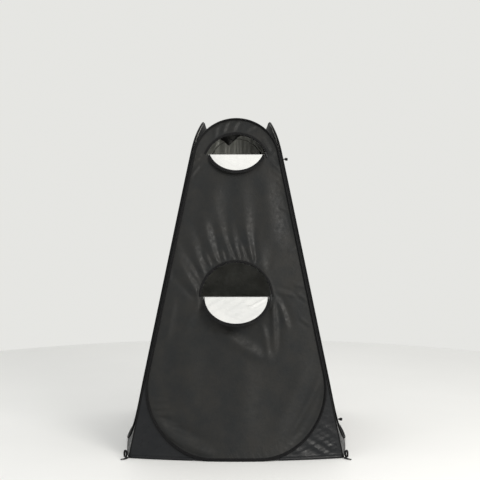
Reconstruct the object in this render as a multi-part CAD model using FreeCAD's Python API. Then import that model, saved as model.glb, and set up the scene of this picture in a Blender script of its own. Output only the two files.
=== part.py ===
"""Pop-up privacy shelter for a portable camp toilet.

Four tall fabric walls lean together over a square of ground. Each wall is stretched on its own closed hoop of
spring steel, which runs in a sewn sleeve on the wall's outer face, and neighbouring walls are hinged along their
straight corner seams. A thin canopy closes the top between the four arches. The front wall has two half-round
vents whose zipped flaps hang open, and the back wall has a zipped door. Webbing tabs with steel eyelets take the
ground pegs at the corners.

Frame: millimetres, +Z up, origin on the ground in the middle of the shelter, front wall towards -Y.
"""
import FreeCAD
import Part
import math
import os

from FreeCAD import Matrix, Vector

# ---- Driving dimensions, mm -------------------------------------------------------------------------------------
CORNER_REACH = 595.0        # half the distance between neighbouring corners, on the ground
CORNER_LEAN = 0.195         # how far a corner seam comes in for each unit of height
HOOP_TOP = 1925.0           # height of a hoop's centreline at its arch
FLARE = 62.0                # how far the foot of a wall bulges out between its corners
FLARE_HEIGHT = 480.0        # height where that bulge has died away
CROWN_PULL = 22.0           # how far the canopy pulls an arch in, beyond the corner seams' lean
CROWN_DEPTH = 475.0         # how far below the arch's top that pull begins

FABRIC = 1.0                # thickness that stands for a layer of cloth
WIRE_RADIUS = 1.5
FERRULE_CLEARANCE = 0.1     # round the wire
FERRULE_WALL = 1.0
FERRULE_LENGTH = 45.0
FERRULE_HEIGHT = 1050.0     # height of the ferrule that closes the wire, on a straight leg
SLEEVE_CLEARANCE = 0.3      # round the ferrule
SLEEVE_WALL = 2.1
SLEEVE_GAP = 1.5            # between a sleeve and the wall that it is sewn to
HOOP_INSET = 10.0           # from a corner seam to the hoop's straight legs
HOOP_FOOT_RADIUS = 375.0    # bend of a hoop at its two lower corners
SEAM_GAP = 0.4              # between neighbouring pieces of cloth
OPEN_SEAM = 7.0             # clearance on each side of the corner seam where the folding loop is left open
HEM_HEIGHT = 3.0            # lower edge of the cloth above the ground

CANOPY_GAP = 3.0            # from the inside of a wall to the canopy's edge
CANOPY_DROP = 7.0           # from a hoop's centreline down to the canopy's edge
CANOPY_CENTRE = 0.15        # share of the arches' height that is left in the canopy's sagging middle
CANOPY_THICKNESS = 2.0

UPPER_SILL_DROP = 13.0      # from the foot of the arch down to the upper vent's straight edge
UPPER_TOP_MARGIN = 92.0     # from the hoop's centreline to the upper vent
UPPER_SIDE_MARGIN = 75.0
UPPER_STAND = 12.0          # degrees that the upper flap stands off the wall as it hangs
MIDDLE_SILL = 878.0         # height of the middle vent's straight edge
MIDDLE_RISE = 200.0
MIDDLE_HALF_WIDTH = 200.0
MIDDLE_STAND = 28.0

TAPE_WIDTH = 13.0           # zip tape
TAPE_LIFT = 0.3             # between a wall and the tape sewn on it
CHAIN_GAP = 1.4             # from the zip's centreline to each tape
FLAP_GAP = 0.2              # between the tape on the wall and a closed flap, out from the wall

SLIDER_LENGTH = 13.0
SLIDER_WIDTH = 9.0
SLIDER_PLATE = 1.6
SLIDER_POST = 1.8
SLIDER_SLOT_IN = 1.6        # how far the slot reaches inside the wall's inner face
SLIDER_SLOT_SPARE = 2.9     # and past the outside of a closed flap
SLIDER_CORNER = 1.5
SLIDER_END_GAP = 1.5        # from a vent's sill to a slider at the end of its zip
FLAP_END_GAP = 0.8          # from a hanging flap's ends to that slider
PIN_RADIUS = 0.7
EYE_CLEARANCE = 0.08
EYE_WALL = 0.92
EYE_GAP = 0.2               # from a pull's eye to the slider's plate and to each lug
EYE_WIDTH = 2.8
LUG_THICKNESS = 1.4
PULL_NECK = 6.0             # narrow stretch of a pull between its eye and its tab
PULL_CORNER = 2.0
PULL_LENGTH = 30.0
PULL_WIDTH = 6.5
PULL_THICKNESS = 1.4

DOOR_INSET = 75.0           # from a hoop's centreline to the door's zip
DOOR_PARK = 40.0            # from the top of the flare up to the parked door slider
HINGE_STRIP = 24.0          # strip along the door's hinge side that has no zip tape
PARK_GAP = 1.5              # round the parked slider, in the door's edge

EYELET_BORE = 5.0           # peg tabs
EYELET_WALL = 1.0
EYELET_LIP = 2.5            # how far a flange stands out past the barrel
EYELET_THICKNESS = 2.6
EYELET_CLEARANCE = 0.2
EYELET_REACH = 39.0         # from the corner to the eyelet, outwards
TAB_MARGIN = 1.5            # webbing round the eyelet's flange
TAB_END = 14.0              # from the eyelet's centre to the tab's round end
TAB_THICKNESS = 1.2
TAB_START = 4.0

LOOP_WIDTH = 10.0           # webbing loops
LOOP_THICKNESS = 1.6
CORNER_LOOP_HEIGHT = 42.0
CORNER_LOOP_REACH = 22.0
CORNER_LOOP_START = 10.0    # from the corner outwards, which leaves room for the next wall when it unfolds
CORNER_LOOP_TAIL = 5.5
CORNER_LOOP_BASE = 8.0
GUY_LOOP_HEIGHT = 18.0
GUY_LOOP_REACH = 22.0
GUY_LOOP_GAP = 1.6          # from a sleeve to a guy loop, measured level
GUY_UPPER_DROP = 49.0       # from the foot of the arch down to the upper guy loop
GUY_LOWER = 170.0           # height of the lower guy loop

ARCH_STEPS = 6              # straight-and-arc steps along an arch, and along each lower bend
FOOT_STEPS = 7
ARC_SHARE = 0.45            # share of a run that a bend takes up at each end

# ---- Worked-out values ------------------------------------------------------------------------------------------
LEAN_ANGLE = math.atan(CORNER_LEAN)
FERRULE_BORE = WIRE_RADIUS + FERRULE_CLEARANCE
FERRULE_RADIUS = FERRULE_BORE + FERRULE_WALL
SLEEVE_BORE = FERRULE_RADIUS + SLEEVE_CLEARANCE
SLEEVE_RADIUS = SLEEVE_BORE + SLEEVE_WALL
TUBE_OFFSET = FABRIC + SLEEVE_GAP + SLEEVE_RADIUS
HOOP_FOOT = SLEEVE_RADIUS
# The arch is the circle that touches both legs and reaches HOOP_TOP.
ARCH_RADIUS = ((CORNER_REACH - HOOP_INSET - CORNER_LEAN * HOOP_TOP) * math.cos(LEAN_ANGLE)
               / (1 - math.sin(LEAN_ANGLE)))
ARCH_CENTRE = HOOP_TOP - ARCH_RADIUS
ARCH_END = math.pi / 2 - LEAN_ANGLE
NOTCH = ARCH_CENTRE + ARCH_RADIUS * math.sin(LEAN_ANGLE)
CROWN_START = HOOP_TOP - CROWN_DEPTH
FOOT_CENTRE_Z = HOOP_FOOT + HOOP_FOOT_RADIUS
FOOT_CENTRE_X = (CORNER_REACH - HOOP_INSET - CORNER_LEAN * FOOT_CENTRE_Z
                 - HOOP_FOOT_RADIUS / math.cos(LEAN_ANGLE))
UPPER_SILL = NOTCH - UPPER_SILL_DROP
UPPER_RISE = HOOP_TOP - UPPER_TOP_MARGIN - UPPER_SILL
UPPER_HALF_WIDTH = CORNER_REACH - HOOP_INSET - CORNER_LEAN * UPPER_SILL - UPPER_SIDE_MARGIN
FLAP_LIFT = 2 * FABRIC + TAPE_LIFT + FLAP_GAP + FABRIC / 2      # to the middle of a closed flap
SLIDER_SLOT_OUT = FLAP_LIFT + FABRIC / 2 + SLIDER_SLOT_SPARE
EYE_RADIUS = PIN_RADIUS + EYE_CLEARANCE + EYE_WALL
LUG_HEIGHT = 2 * EYE_RADIUS + EYE_GAP
LUG_SPACING = EYE_WIDTH + 2 * EYE_GAP + LUG_THICKNESS           # between the middles of the two lugs
DOOR_SLIDER_HEIGHT = FLARE_HEIGHT + DOOR_PARK
EYELET_BARREL = EYELET_BORE + EYELET_WALL
EYELET_FLANGE = EYELET_BARREL + EYELET_LIP
TAB_WIDTH = 2 * (EYELET_FLANGE + TAB_MARGIN)
TAB_LENGTH = EYELET_REACH + TAB_END
GUY_UPPER = NOTCH - GUY_UPPER_DROP
SIDES = {"front": 0, "right": 1, "back": 2, "left": 3}


# ---- The walls' shape -------------------------------------------------------------------------------------------
def corner(z):
    """Distance of a corner seam from the middle planes at height z."""
    return CORNER_REACH - CORNER_LEAN * z


def depth(x, z):
    """Distance of a wall's inner face from the middle, at x across the wall and height z."""
    across = min(1.0, abs(x) / corner(z))
    flare = FLARE * max(0.0, 1 - z / FLARE_HEIGHT) ** 2 * (1 - across ** 2)
    pull = CROWN_PULL * max(0.0, (z - CROWN_START) / (HOOP_TOP - CROWN_START)) ** 2 * (1 - across ** 4)
    return corner(z) + flare - pull


def lean(x, z):
    """Slope of a wall at that point: how fast it comes in with height."""
    step = 5.0
    return (depth(x, z - step) - depth(x, z + step)) / (2 * step)


def to_side(shape, side):
    """A copy of a front wall's piece turned to the named side."""
    turned = shape.copy()
    turned.rotate(Vector(0, 0, 0), Vector(0, 0, 1), 90.0 * SIDES[side])
    return turned


def cloth(offset, thickness):
    """The whole front wall as a layer of cloth whose inner face is offset outwards from the wall's inner face."""
    middle, top = CROWN_START - FLARE_HEIGHT, HOOP_TOP + 2 * SLEEVE_RADIUS - CROWN_START
    heights = [FLARE_HEIGHT * share for share in (0, 0.125, 0.25, 0.4, 0.56, 0.75, 1)]
    heights += [FLARE_HEIGHT + middle * share for share in (0.25, 0.5, 0.75, 1)]
    heights += [CROWN_START + top * share for share in (0.33, 0.67, 1)]
    shares = [-1, -0.75, -0.5, -0.25, 0, 0.25, 0.5, 0.75, 1]
    grid = [[Vector(u * corner(z), -depth(u * corner(z), z) - offset * math.hypot(1, lean(0, z)), z)
             for u in shares] for z in heights]
    surface = Part.BSplineSurface()
    surface.interpolate(grid)
    return surface.toShape().extrude(Vector(0, -thickness / math.cos(LEAN_ANGLE), 0))


# ---- Outlines, in the front view: x across, z up ----------------------------------------------------------------
def at(x, z):
    return Vector(x, 0, z)


def arc(centre, radius, start, end):
    """Arc in the front view. Angles are in radians from +x towards +z."""
    middle = (start + end) / 2
    points = [at(centre[0] + radius * math.cos(a), centre[1] + radius * math.sin(a)) for a in (start, middle, end)]
    return Part.Arc(*points).toShape()


def closed_face(edges):
    return Part.Face(Part.Wire(Part.__sortEdges__(edges)))


def through(face):
    """The outline as a prism right through the front half of the shelter."""
    return face.extrude(Vector(0, -2 * CORNER_REACH, 0))


def hoop_face(grow=0.0):
    """The area inside a hoop's centreline, grown by an amount."""
    arch, foot = ARCH_RADIUS + grow, HOOP_FOOT_RADIUS + grow
    upper = arc((0, ARCH_CENTRE), arch, LEAN_ANGLE, math.pi - LEAN_ANGLE)
    right = arc((FOOT_CENTRE_X, FOOT_CENTRE_Z), foot, -math.pi / 2, LEAN_ANGLE)
    left = arc((-FOOT_CENTRE_X, FOOT_CENTRE_Z), foot, math.pi - LEAN_ANGLE, 3 * math.pi / 2)
    joins = [
        (upper.Vertexes[0].Point, right.Vertexes[-1].Point),
        (upper.Vertexes[-1].Point, left.Vertexes[0].Point),
        (right.Vertexes[0].Point, left.Vertexes[-1].Point),
    ]
    return closed_face([upper, right, left] + [Part.LineSegment(a, b).toShape() for a, b in joins])


def polygon(points):
    return Part.Face(Part.makePolygon([at(*p) for p in points + points[:1]]))


def trapezium(inset_left, inset_right, low, high):
    """The wall between its corner seams, set in from each of them."""
    return polygon([
        (-corner(low) + inset_left, low), (corner(low) - inset_right, low),
        (corner(high) - inset_right, high), (-corner(high) + inset_left, high),
    ])


# ---- Hoops ------------------------------------------------------------------------------------------------------
def on_hoop(x, z):
    """A point of the hoop's centreline, outside the front wall."""
    return Vector(x, -depth(x, z) - TUBE_OFFSET * math.hypot(1, lean(x, z)), z)


def hoop_half_width(z):
    """Half the width of a hoop at height z, on its lower bend or its leg."""
    above = z - FOOT_CENTRE_Z
    if above > HOOP_FOOT_RADIUS * math.sin(LEAN_ANGLE):
        return corner(z) - HOOP_INSET
    return FOOT_CENTRE_X + math.sqrt(HOOP_FOOT_RADIUS ** 2 - above ** 2)


def hoop_points():
    """Corners of the hoop's route: the polygons around its arch and its two lower bends."""
    points = []
    turn = 2 * ARCH_END / ARCH_STEPS
    reach = ARCH_RADIUS / math.cos(turn / 2)
    for k in range(ARCH_STEPS):
        a = -ARCH_END + (k + 0.5) * turn
        points.append((reach * math.sin(a), ARCH_CENTRE + reach * math.cos(a)))
    turn = (math.pi / 2 + LEAN_ANGLE) / FOOT_STEPS
    reach = HOOP_FOOT_RADIUS / math.cos(turn / 2)
    foot = []
    for k in range(FOOT_STEPS):
        a = LEAN_ANGLE - (k + 0.5) * turn
        foot.append((FOOT_CENTRE_X + reach * math.cos(a), FOOT_CENTRE_Z + reach * math.sin(a)))
    points += foot
    # The bottom follows the bulge of the wall's foot.
    points += [(FOOT_CENTRE_X / 2, HOOP_FOOT), (-FOOT_CENTRE_X / 2, HOOP_FOOT)]
    points += [(-x, z) for x, z in reversed(foot)]
    return [on_hoop(x, z) for x, z in points]


def rounded_route(points):
    """Closed route of straight runs joined by tangent arcs, as (start, middle, end) of each arc."""
    count = len(points)
    bends = []
    for i, corner_point in enumerate(points):
        before = points[i - 1] - corner_point
        after = points[(i + 1) % count] - corner_point
        trim = ARC_SHARE * min(before.Length, after.Length)
        before.normalize()
        after.normalize()
        start, end = corner_point + before * trim, corner_point + after * trim
        half_turn = (math.pi - before.getAngle(after)) / 2
        towards = (before + after).normalize()
        radius = trim / math.tan(half_turn)
        middle = corner_point + towards * (radius / math.cos(half_turn) - radius)
        bends.append((start, middle, end))
    return bends


def rod(bends, radius):
    """Solid round rod along a closed route, built as two halves."""
    edges = []
    for i, (start, middle, end) in enumerate(bends):
        edges.append(Part.Arc(start, middle, end).toShape())
        edges.append(Part.LineSegment(end, bends[(i + 1) % len(bends)][0]).toShape())
    half = len(edges) // 2
    halves = []
    for run in (edges[:half], edges[half:]):
        wire = Part.Wire(run)
        first = run[0]
        section = Part.Wire(Part.makeCircle(radius, first.valueAt(first.FirstParameter),
                                            first.tangentAt(first.FirstParameter)))
        halves.append(wire.makePipeShell([section], True, False))
    return halves[0].fuse(halves[1])


def hoop_parts(side):
    bends = rounded_route(hoop_points())
    wire = rod(bends, WIRE_RADIUS)
    sleeve = rod(bends, SLEEVE_RADIUS).cut(rod(bends, SLEEVE_BORE))
    # The ferrule sits on the straight leg towards +x.
    top, bottom = bends[ARCH_STEPS - 1][2], bends[ARCH_STEPS][0]
    along = (bottom - top).normalize()
    middle = top + along * ((top.z - FERRULE_HEIGHT) / -along.z)
    start = middle - along * (FERRULE_LENGTH / 2)
    ferrule = (Part.makeCylinder(FERRULE_RADIUS, FERRULE_LENGTH, start, along)
               .cut(Part.makeCylinder(FERRULE_BORE, FERRULE_LENGTH, start, along)))
    return {side + "_hoop_wire": wire, side + "_hoop_sleeve": sleeve, side + "_hoop_ferrule": ferrule}


# ---- Cloth ------------------------------------------------------------------------------------------------------
def edge_inset(side, end):
    """How far a wall's cloth stays from the corner seam at its -x or +x end, as seen from outside the wall."""
    at_open_seam = (side, end) in (("left", "-x"), ("back", "+x"))
    return OPEN_SEAM if at_open_seam else SEAM_GAP / 2


def wall_parts(side):
    """The wall inside its hoop and the two gussets between the hoop's lower bends and the corner seams."""
    sheet = cloth(0, FABRIC)
    inside = through(hoop_face(-SEAM_GAP / 2)).common(through(polygon([
        (-2 * CORNER_REACH, HEM_HEIGHT), (2 * CORNER_REACH, HEM_HEIGHT),
        (2 * CORNER_REACH, 2 * HOOP_TOP), (-2 * CORNER_REACH, 2 * HOOP_TOP)])))
    outside = through(hoop_face(SEAM_GAP / 2))
    whole = through(trapezium(edge_inset(side, "-x"), edge_inset(side, "+x"), HEM_HEIGHT, NOTCH))
    skirt = sheet.common(whole).cut(outside)
    halves = {"left": -1, "right": 1}
    parts = {side + "_wall": sheet.common(inside)}
    for name, sign in halves.items():
        half = through(polygon([(0, 0), (sign * 2 * CORNER_REACH, 0), (sign * 2 * CORNER_REACH, HOOP_TOP),
                                (0, HOOP_TOP)]))
        pieces = skirt.common(half).Solids
        parts["%s_%s_gusset" % (side, name)] = max(pieces, key=lambda s: s.Volume)
    return parts


def canopy():
    """Sagging sheet between the four arches."""
    half = corner(NOTCH) - CANOPY_GAP - FABRIC

    def rise(u):
        return (ARCH_RADIUS * math.cos(u * ARCH_END) - ARCH_RADIUS * math.cos(ARCH_END))

    def weight(v):
        return CANOPY_CENTRE + (1 - CANOPY_CENTRE) * v * v

    def across(u, v):
        """x of the canopy's point at shares u, v: it reaches less far where the arches are pulled in."""
        edge = depth(half * math.sin(v * ARCH_END), NOTCH + rise(v)) - CANOPY_GAP
        return half * math.sin(u * ARCH_END) / math.sin(ARCH_END) * (1 - abs(u)) + u * abs(u) * edge

    shares = [-1, -0.75, -0.5, -0.25, 0, 0.25, 0.5, 0.75, 1]
    grid = []
    for v in shares:
        row = []
        for u in shares:
            z = NOTCH - CANOPY_DROP + rise(u) * weight(v) + rise(v) * weight(u)
            row.append(Vector(across(u, v), across(v, u), z))
        grid.append(row)
    surface = Part.BSplineSurface()
    surface.interpolate(grid)
    return surface.toShape().extrude(Vector(0, 0, -CANOPY_THICKNESS))


# ---- Vents ------------------------------------------------------------------------------------------------------
class Vent:
    """A half-round opening. Its own frame has x across, y up the wall and z outwards, from the sill's middle."""

    def __init__(self, sill, rise, half_width, stand):
        self.radius = (half_width ** 2 + rise ** 2) / (2 * rise)
        self.drop = self.radius - rise          # from the sill down to the arc's centre
        self.stand = stand
        slope = math.atan(lean(0, sill + rise / 2))
        out = Vector(0, -math.cos(slope), math.sin(slope))
        up = Vector(0, math.sin(slope), math.cos(slope))
        origin = Vector(0, -depth(0, sill + rise / 2), sill + rise / 2) - up * (rise / 2 / math.cos(slope))
        self.frame = Matrix(1, up.x, out.x, origin.x, 0, up.y, out.y, origin.y, 0, up.z, out.z, origin.z, 0, 0, 0, 1)
        self.start = math.asin(self.drop / self.radius)
        # The slider rests this far round the arc, counted from +x.
        self.rest = self.start + (SLIDER_LENGTH / 2 + SLIDER_END_GAP) / self.radius
        self.flap_half_width = (self.radius * math.cos(self.rest) - SLIDER_WIDTH / 2 * math.cos(self.rest)
                                - SLIDER_LENGTH / 2 * math.sin(self.rest) - FLAP_END_GAP)

    def place(self, shape):
        moved = shape.copy()
        moved.transformShape(self.frame)
        return moved

    def segment(self, radius, low, high):
        """The part of a disc of that radius above the sill, between two heights out of the wall."""
        disc = Part.makeCylinder(radius, high - low, Vector(0, -self.drop, low))
        above = Part.makeBox(4 * radius, 2 * radius, 3 * (high - low), Vector(-2 * radius, 0, low - (high - low)))
        return disc.common(above)

    def opening(self):
        return self.place(self.segment(self.radius + CHAIN_GAP, -60, 60))

    def frame_tape(self):
        """Zip tape sewn round the opening's arc."""
        ring = (self.segment(self.radius + CHAIN_GAP + TAPE_WIDTH, -20, 20)
                .cut(self.segment(self.radius + CHAIN_GAP, -30, 30)))
        return cloth(FABRIC + TAPE_LIFT, FABRIC).common(self.place(ring))

    def flap(self):
        """The flap as it hangs open: the opening's shape turned down about the sill, with its foot off the wall."""
        low, high = FLAP_LIFT - FABRIC / 2, FLAP_LIFT + FABRIC / 2
        inner = self.radius - CHAIN_GAP - TAPE_WIDTH
        between_ends = Part.makeBox(2 * self.flap_half_width, self.radius, 2 * FLAP_LIFT,
                                    Vector(-self.flap_half_width, 0, 0))
        pieces = {
            "flap": self.segment(inner - SEAM_GAP, low, high),
            "flap_tape": self.segment(self.radius - CHAIN_GAP, low, high).cut(self.segment(inner, low - 1, high + 1)),
        }
        placed = {}
        for name, piece in pieces.items():
            piece = piece.common(between_ends)
            piece.rotate(Vector(0, 0, FLAP_LIFT), Vector(1, 0, 0), 180)
            piece.translate(Vector(0, -SEAM_GAP, 0))
            piece.rotate(Vector(0, -SEAM_GAP / 2, FLAP_LIFT), Vector(1, 0, 0), -self.stand)
            placed[name] = self.place(piece)
        return placed

    def slider(self):
        """Slider and pull at the +x end of the zip, where it rests."""
        parts = {}
        for name, piece in slider_parts().items():
            piece.rotate(Vector(0, 0, 0), Vector(0, 0, 1), math.degrees(self.rest))
            piece.translate(Vector(self.radius * math.cos(self.rest),
                                   self.radius * math.sin(self.rest) - self.drop, 0))
            parts[name] = self.place(piece)
        return parts


def rounded_plate(width, length, thickness, corner_radius, low):
    """Flat plate centred on the z axis, with its corners rounded in plan and its underside at z = low."""
    plate = Part.makeBox(width, length, thickness, Vector(-width / 2, -length / 2, low))
    upright = [e for e in plate.Edges if abs(e.tangentAt(e.FirstParameter).z) > 0.9]
    return plate.makeFillet(corner_radius, upright)


def slider_parts():
    """A zip slider that travels along y, with its pull hanging towards -y. Its zip lies in the plane z = 0."""
    inner = rounded_plate(SLIDER_WIDTH, SLIDER_LENGTH, SLIDER_PLATE, SLIDER_CORNER, -SLIDER_SLOT_IN - SLIDER_PLATE)
    outer = rounded_plate(SLIDER_WIDTH, SLIDER_LENGTH, SLIDER_PLATE, SLIDER_CORNER, SLIDER_SLOT_OUT)
    post = Part.makeBox(SLIDER_POST, SLIDER_LENGTH / 3, SLIDER_SLOT_OUT + SLIDER_SLOT_IN,
                        Vector(-SLIDER_POST / 2, SLIDER_LENGTH / 7, -SLIDER_SLOT_IN))
    base = SLIDER_SLOT_OUT + SLIDER_PLATE
    pin_height = base + LUG_HEIGHT - EYE_RADIUS
    lugs = [Part.makeBox(LUG_THICKNESS, 2 * EYE_RADIUS, LUG_HEIGHT,
                         Vector(sign * LUG_SPACING / 2 - LUG_THICKNESS / 2, -EYE_RADIUS, base)) for sign in (-1, 1)]
    pin = Part.makeCylinder(PIN_RADIUS, LUG_SPACING, Vector(-LUG_SPACING / 2, 0, pin_height), Vector(1, 0, 0))
    slider = outer.fuse([inner, post, pin] + lugs)

    eye = Part.makeCylinder(EYE_RADIUS, EYE_WIDTH, Vector(-EYE_WIDTH / 2, 0, pin_height), Vector(1, 0, 0))
    neck = Part.makeBox(EYE_WIDTH, PULL_NECK + 1, PULL_THICKNESS,
                        Vector(-EYE_WIDTH / 2, -PULL_NECK - 1, pin_height - PULL_THICKNESS / 2))
    tab = rounded_plate(PULL_WIDTH, PULL_LENGTH - PULL_NECK, PULL_THICKNESS, PULL_CORNER,
                        pin_height - PULL_THICKNESS / 2)
    tab.translate(Vector(0, -(PULL_LENGTH + PULL_NECK) / 2, 0))
    hole = Part.makeCylinder(PIN_RADIUS + EYE_CLEARANCE, 2 * LUG_SPACING,
                             Vector(-LUG_SPACING, 0, pin_height), Vector(1, 0, 0))
    pull = eye.fuse([neck, tab]).cut(hole)
    return {"slider": slider, "pull": pull}


# ---- Door -------------------------------------------------------------------------------------------------------
def door_face(grow=0.0):
    """The area inside the door's zip, in the front view of its wall, grown by an amount."""
    return hoop_face(grow - DOOR_INSET)


def door_side(z):
    """Half the width between the door's straight sides at height z."""
    return corner(z) - HOOP_INSET - DOOR_INSET / math.cos(LEAN_ANGLE)


def door_parts():
    """The door's cloth and its two zip tapes, in the front view's frame, before the turn to the back wall."""
    sheet = cloth(0, FABRIC)
    tape = cloth(FABRIC + TAPE_LIFT, FABRIC)
    # The door hangs on its straight -x side, so its tapes end beside the ends of that side.
    low, high = FOOT_CENTRE_Z, NOTCH
    unzipped = through(polygon([
        (-2 * CORNER_REACH, low), (-door_side(low) + HINGE_STRIP, low),
        (-door_side(high) + HINGE_STRIP, high), (-2 * CORNER_REACH, high)]))
    frame = through(door_face(CHAIN_GAP))
    # The door's edge leaves room for the parked slider, so that the door can swing past it.
    width, length = SLIDER_WIDTH + 2 * PARK_GAP, SLIDER_LENGTH + 2 * PARK_GAP
    park = on_door_zip(Part.makeBox(width, length, 4 * SLIDER_LENGTH,
                                    Vector(-width / 2, -length / 2, -2 * SLIDER_LENGTH)))
    flap = through(door_face(-CHAIN_GAP)).cut(park)
    return {
        "door_panel": sheet.common(flap),
        "door_flap_tape": tape.common(flap).cut([through(door_face(-CHAIN_GAP - TAPE_WIDTH)), unzipped]),
        "door_frame_tape": tape.common(through(door_face(CHAIN_GAP + TAPE_WIDTH))).cut([frame, unzipped]),
    }


def on_door_zip(shape):
    """Moves a shape from the slider's frame to the door's +x side, which is straight from here up to the arch."""
    z = DOOR_SLIDER_HEIGHT
    along = Vector(-CORNER_LEAN, CORNER_LEAN, 1).normalize()
    out = Vector(0, -math.cos(LEAN_ANGLE), math.sin(LEAN_ANGLE))
    across = along.cross(out).normalize()
    placed = shape.copy()
    placed.transformShape(Matrix(across.x, along.x, out.x, door_side(z), across.y, along.y, out.y, -corner(z),
                                 across.z, along.z, out.z, z, 0, 0, 0, 1))
    return placed


def door_slider():
    return {"door_" + name: on_door_zip(piece) for name, piece in slider_parts().items()}


# ---- Corner hardware --------------------------------------------------------------------------------------------
def outwards(shape, quarter):
    """Moves a shape from a frame with +x outwards and its origin at the corner to the front-left corner, and then
    round to the corner after that many quarter turns."""
    placed = shape.copy()
    placed.rotate(Vector(0, 0, 0), Vector(0, 0, 1), -135)
    placed.translate(Vector(-CORNER_REACH, -CORNER_REACH, 0))
    placed.rotate(Vector(0, 0, 0), Vector(0, 0, 1), 90.0 * quarter)
    return placed


def peg_tab():
    """Webbing tab with a round end, and the steel eyelet clamped in it."""
    half = TAB_WIDTH / 2
    straight = TAB_LENGTH - half - TAB_START
    lift = (EYELET_THICKNESS - TAB_THICKNESS) / 2
    tab = Part.makeBox(straight, TAB_WIDTH, TAB_THICKNESS, Vector(TAB_START, -half, lift))
    tab = tab.fuse(Part.makeCylinder(half, TAB_THICKNESS, Vector(TAB_START + straight, 0, lift))).removeSplitter()
    tab = tab.cut(Part.makeCylinder(EYELET_BARREL + EYELET_CLEARANCE, EYELET_THICKNESS, Vector(EYELET_REACH, 0, 0)))
    flange = (EYELET_THICKNESS - TAB_THICKNESS) / 2 - EYELET_CLEARANCE / 2
    centre = Vector(EYELET_REACH, 0, 0)
    eyelet = Part.makeCylinder(EYELET_BARREL, EYELET_THICKNESS, centre)
    eyelet = eyelet.fuse([Part.makeCylinder(EYELET_FLANGE, flange, centre),
                          Part.makeCylinder(EYELET_FLANGE, flange,
                                            centre + Vector(0, 0, EYELET_THICKNESS - flange))])
    eyelet = eyelet.removeSplitter().cut(Part.makeCylinder(EYELET_BORE, EYELET_THICKNESS, centre))
    return tab, eyelet


def webbing_loop(reach, height):
    """Flat webbing sewn into a loop. It stands in the xz plane, reaches out along +x and is LOOP_WIDTH wide in y."""
    def ring(shrink):
        high, long = height - 2 * shrink, reach - 2 * shrink
        bend = 0.48 * min(high, long)
        box = Part.makeBox(long, LOOP_WIDTH, high, Vector(shrink, -LOOP_WIDTH / 2, shrink))
        outer_edges = [e for e in box.Edges
                       if abs(e.tangentAt(e.FirstParameter).y) > 0.9 and e.CenterOfMass.x > reach / 2]
        return box.makeFillet(bend, outer_edges)
    return ring(0).cut(ring(LOOP_THICKNESS))


def corner_loop():
    """Loop beside a corner seam, with the narrow tail that is caught in the seam."""
    loop = webbing_loop(CORNER_LOOP_REACH, CORNER_LOOP_HEIGHT)
    tail = Part.makeBox(CORNER_LOOP_TAIL + LOOP_THICKNESS, LOOP_THICKNESS, CORNER_LOOP_HEIGHT / 2,
                        Vector(-CORNER_LOOP_TAIL, -LOOP_THICKNESS / 2, CORNER_LOOP_HEIGHT / 4))
    loop = loop.fuse(tail)
    loop.translate(Vector(CORNER_LOOP_START, 0, CORNER_LOOP_BASE))
    return loop


def guy_loop(z, end):
    """Short loop on the front wall's hoop, on its leg or lower bend at height z towards end, -1 or 1."""
    loop = webbing_loop(GUY_LOOP_REACH, GUY_LOOP_HEIGHT)
    loop.rotate(Vector(0, 0, 0), Vector(0, 0, 1), -90)
    x = end * hoop_half_width(z)
    y = -depth(x, z) - TUBE_OFFSET * math.hypot(1, lean(x, z)) - SLEEVE_RADIUS - GUY_LOOP_GAP
    loop.translate(Vector(x, y, z))
    return loop


# ---- The whole shelter ------------------------------------------------------------------------------------------
def build():
    parts = {}
    for side in SIDES:
        own = {**hoop_parts(side), **wall_parts(side)}
        if side == "front":
            for name, vent in VENTS.items():
                own["front_wall"] = own["front_wall"].cut(vent.opening())
                own[name + "_frame_tape"] = vent.frame_tape()
                own.update({name + "_" + k: v for k, v in {**vent.flap(), **vent.slider()}.items()})
        if side == "back":
            own["back_wall"] = own["back_wall"].cut(through(door_face(CHAIN_GAP)))
            own.update({**door_parts(), **door_slider()})
        if side in ("left", "right"):
            own[side + "_upper_guy_loop"] = guy_loop(GUY_UPPER, -1)
            own[side + "_lower_guy_loop"] = guy_loop(GUY_LOWER, -1)
        parts.update({name: to_side(shape, side) for name, shape in own.items()})
    tab, eyelet = peg_tab()
    for quarter, name in enumerate(("front_left", "front_right", "back_right", "back_left")):
        parts[name + "_peg_tab"] = outwards(tab, quarter)
        parts[name + "_peg_eyelet"] = outwards(eyelet, quarter)
        parts[name + "_corner_loop"] = outwards(corner_loop(), quarter)
    parts["canopy"] = canopy()
    return parts


VENTS = {
    "upper": Vent(UPPER_SILL, UPPER_RISE, UPPER_HALF_WIDTH, UPPER_STAND),
    "middle": Vent(MIDDLE_SILL, MIDDLE_RISE, MIDDLE_HALF_WIDTH, MIDDLE_STAND),
}

os.makedirs("parts", exist_ok=True)
for node, shape in build().items():
    solids = shape.Solids
    solid = solids[0] if len(solids) == 1 else Part.makeCompound(solids)
    if not solids or not solid.isValid():
        raise ValueError(node + " is not a valid solid")
    solid.exportStep(os.path.join("parts", node + ".step"))
    print("%-26s %d solid %9.1f cm3" % (node, len(solids), solid.Volume / 1000))
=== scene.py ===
"""Looks of the pop-up camp toilet shelter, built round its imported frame.

Metres, +Z up, the wall with the two vents towards -Y. Each wall is drawn in its own front view, x across and
z up, as if it were the front wall, and then turned to its side. Relief is how far its cloth stands out from the
CAD wall.
"""
import math

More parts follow.
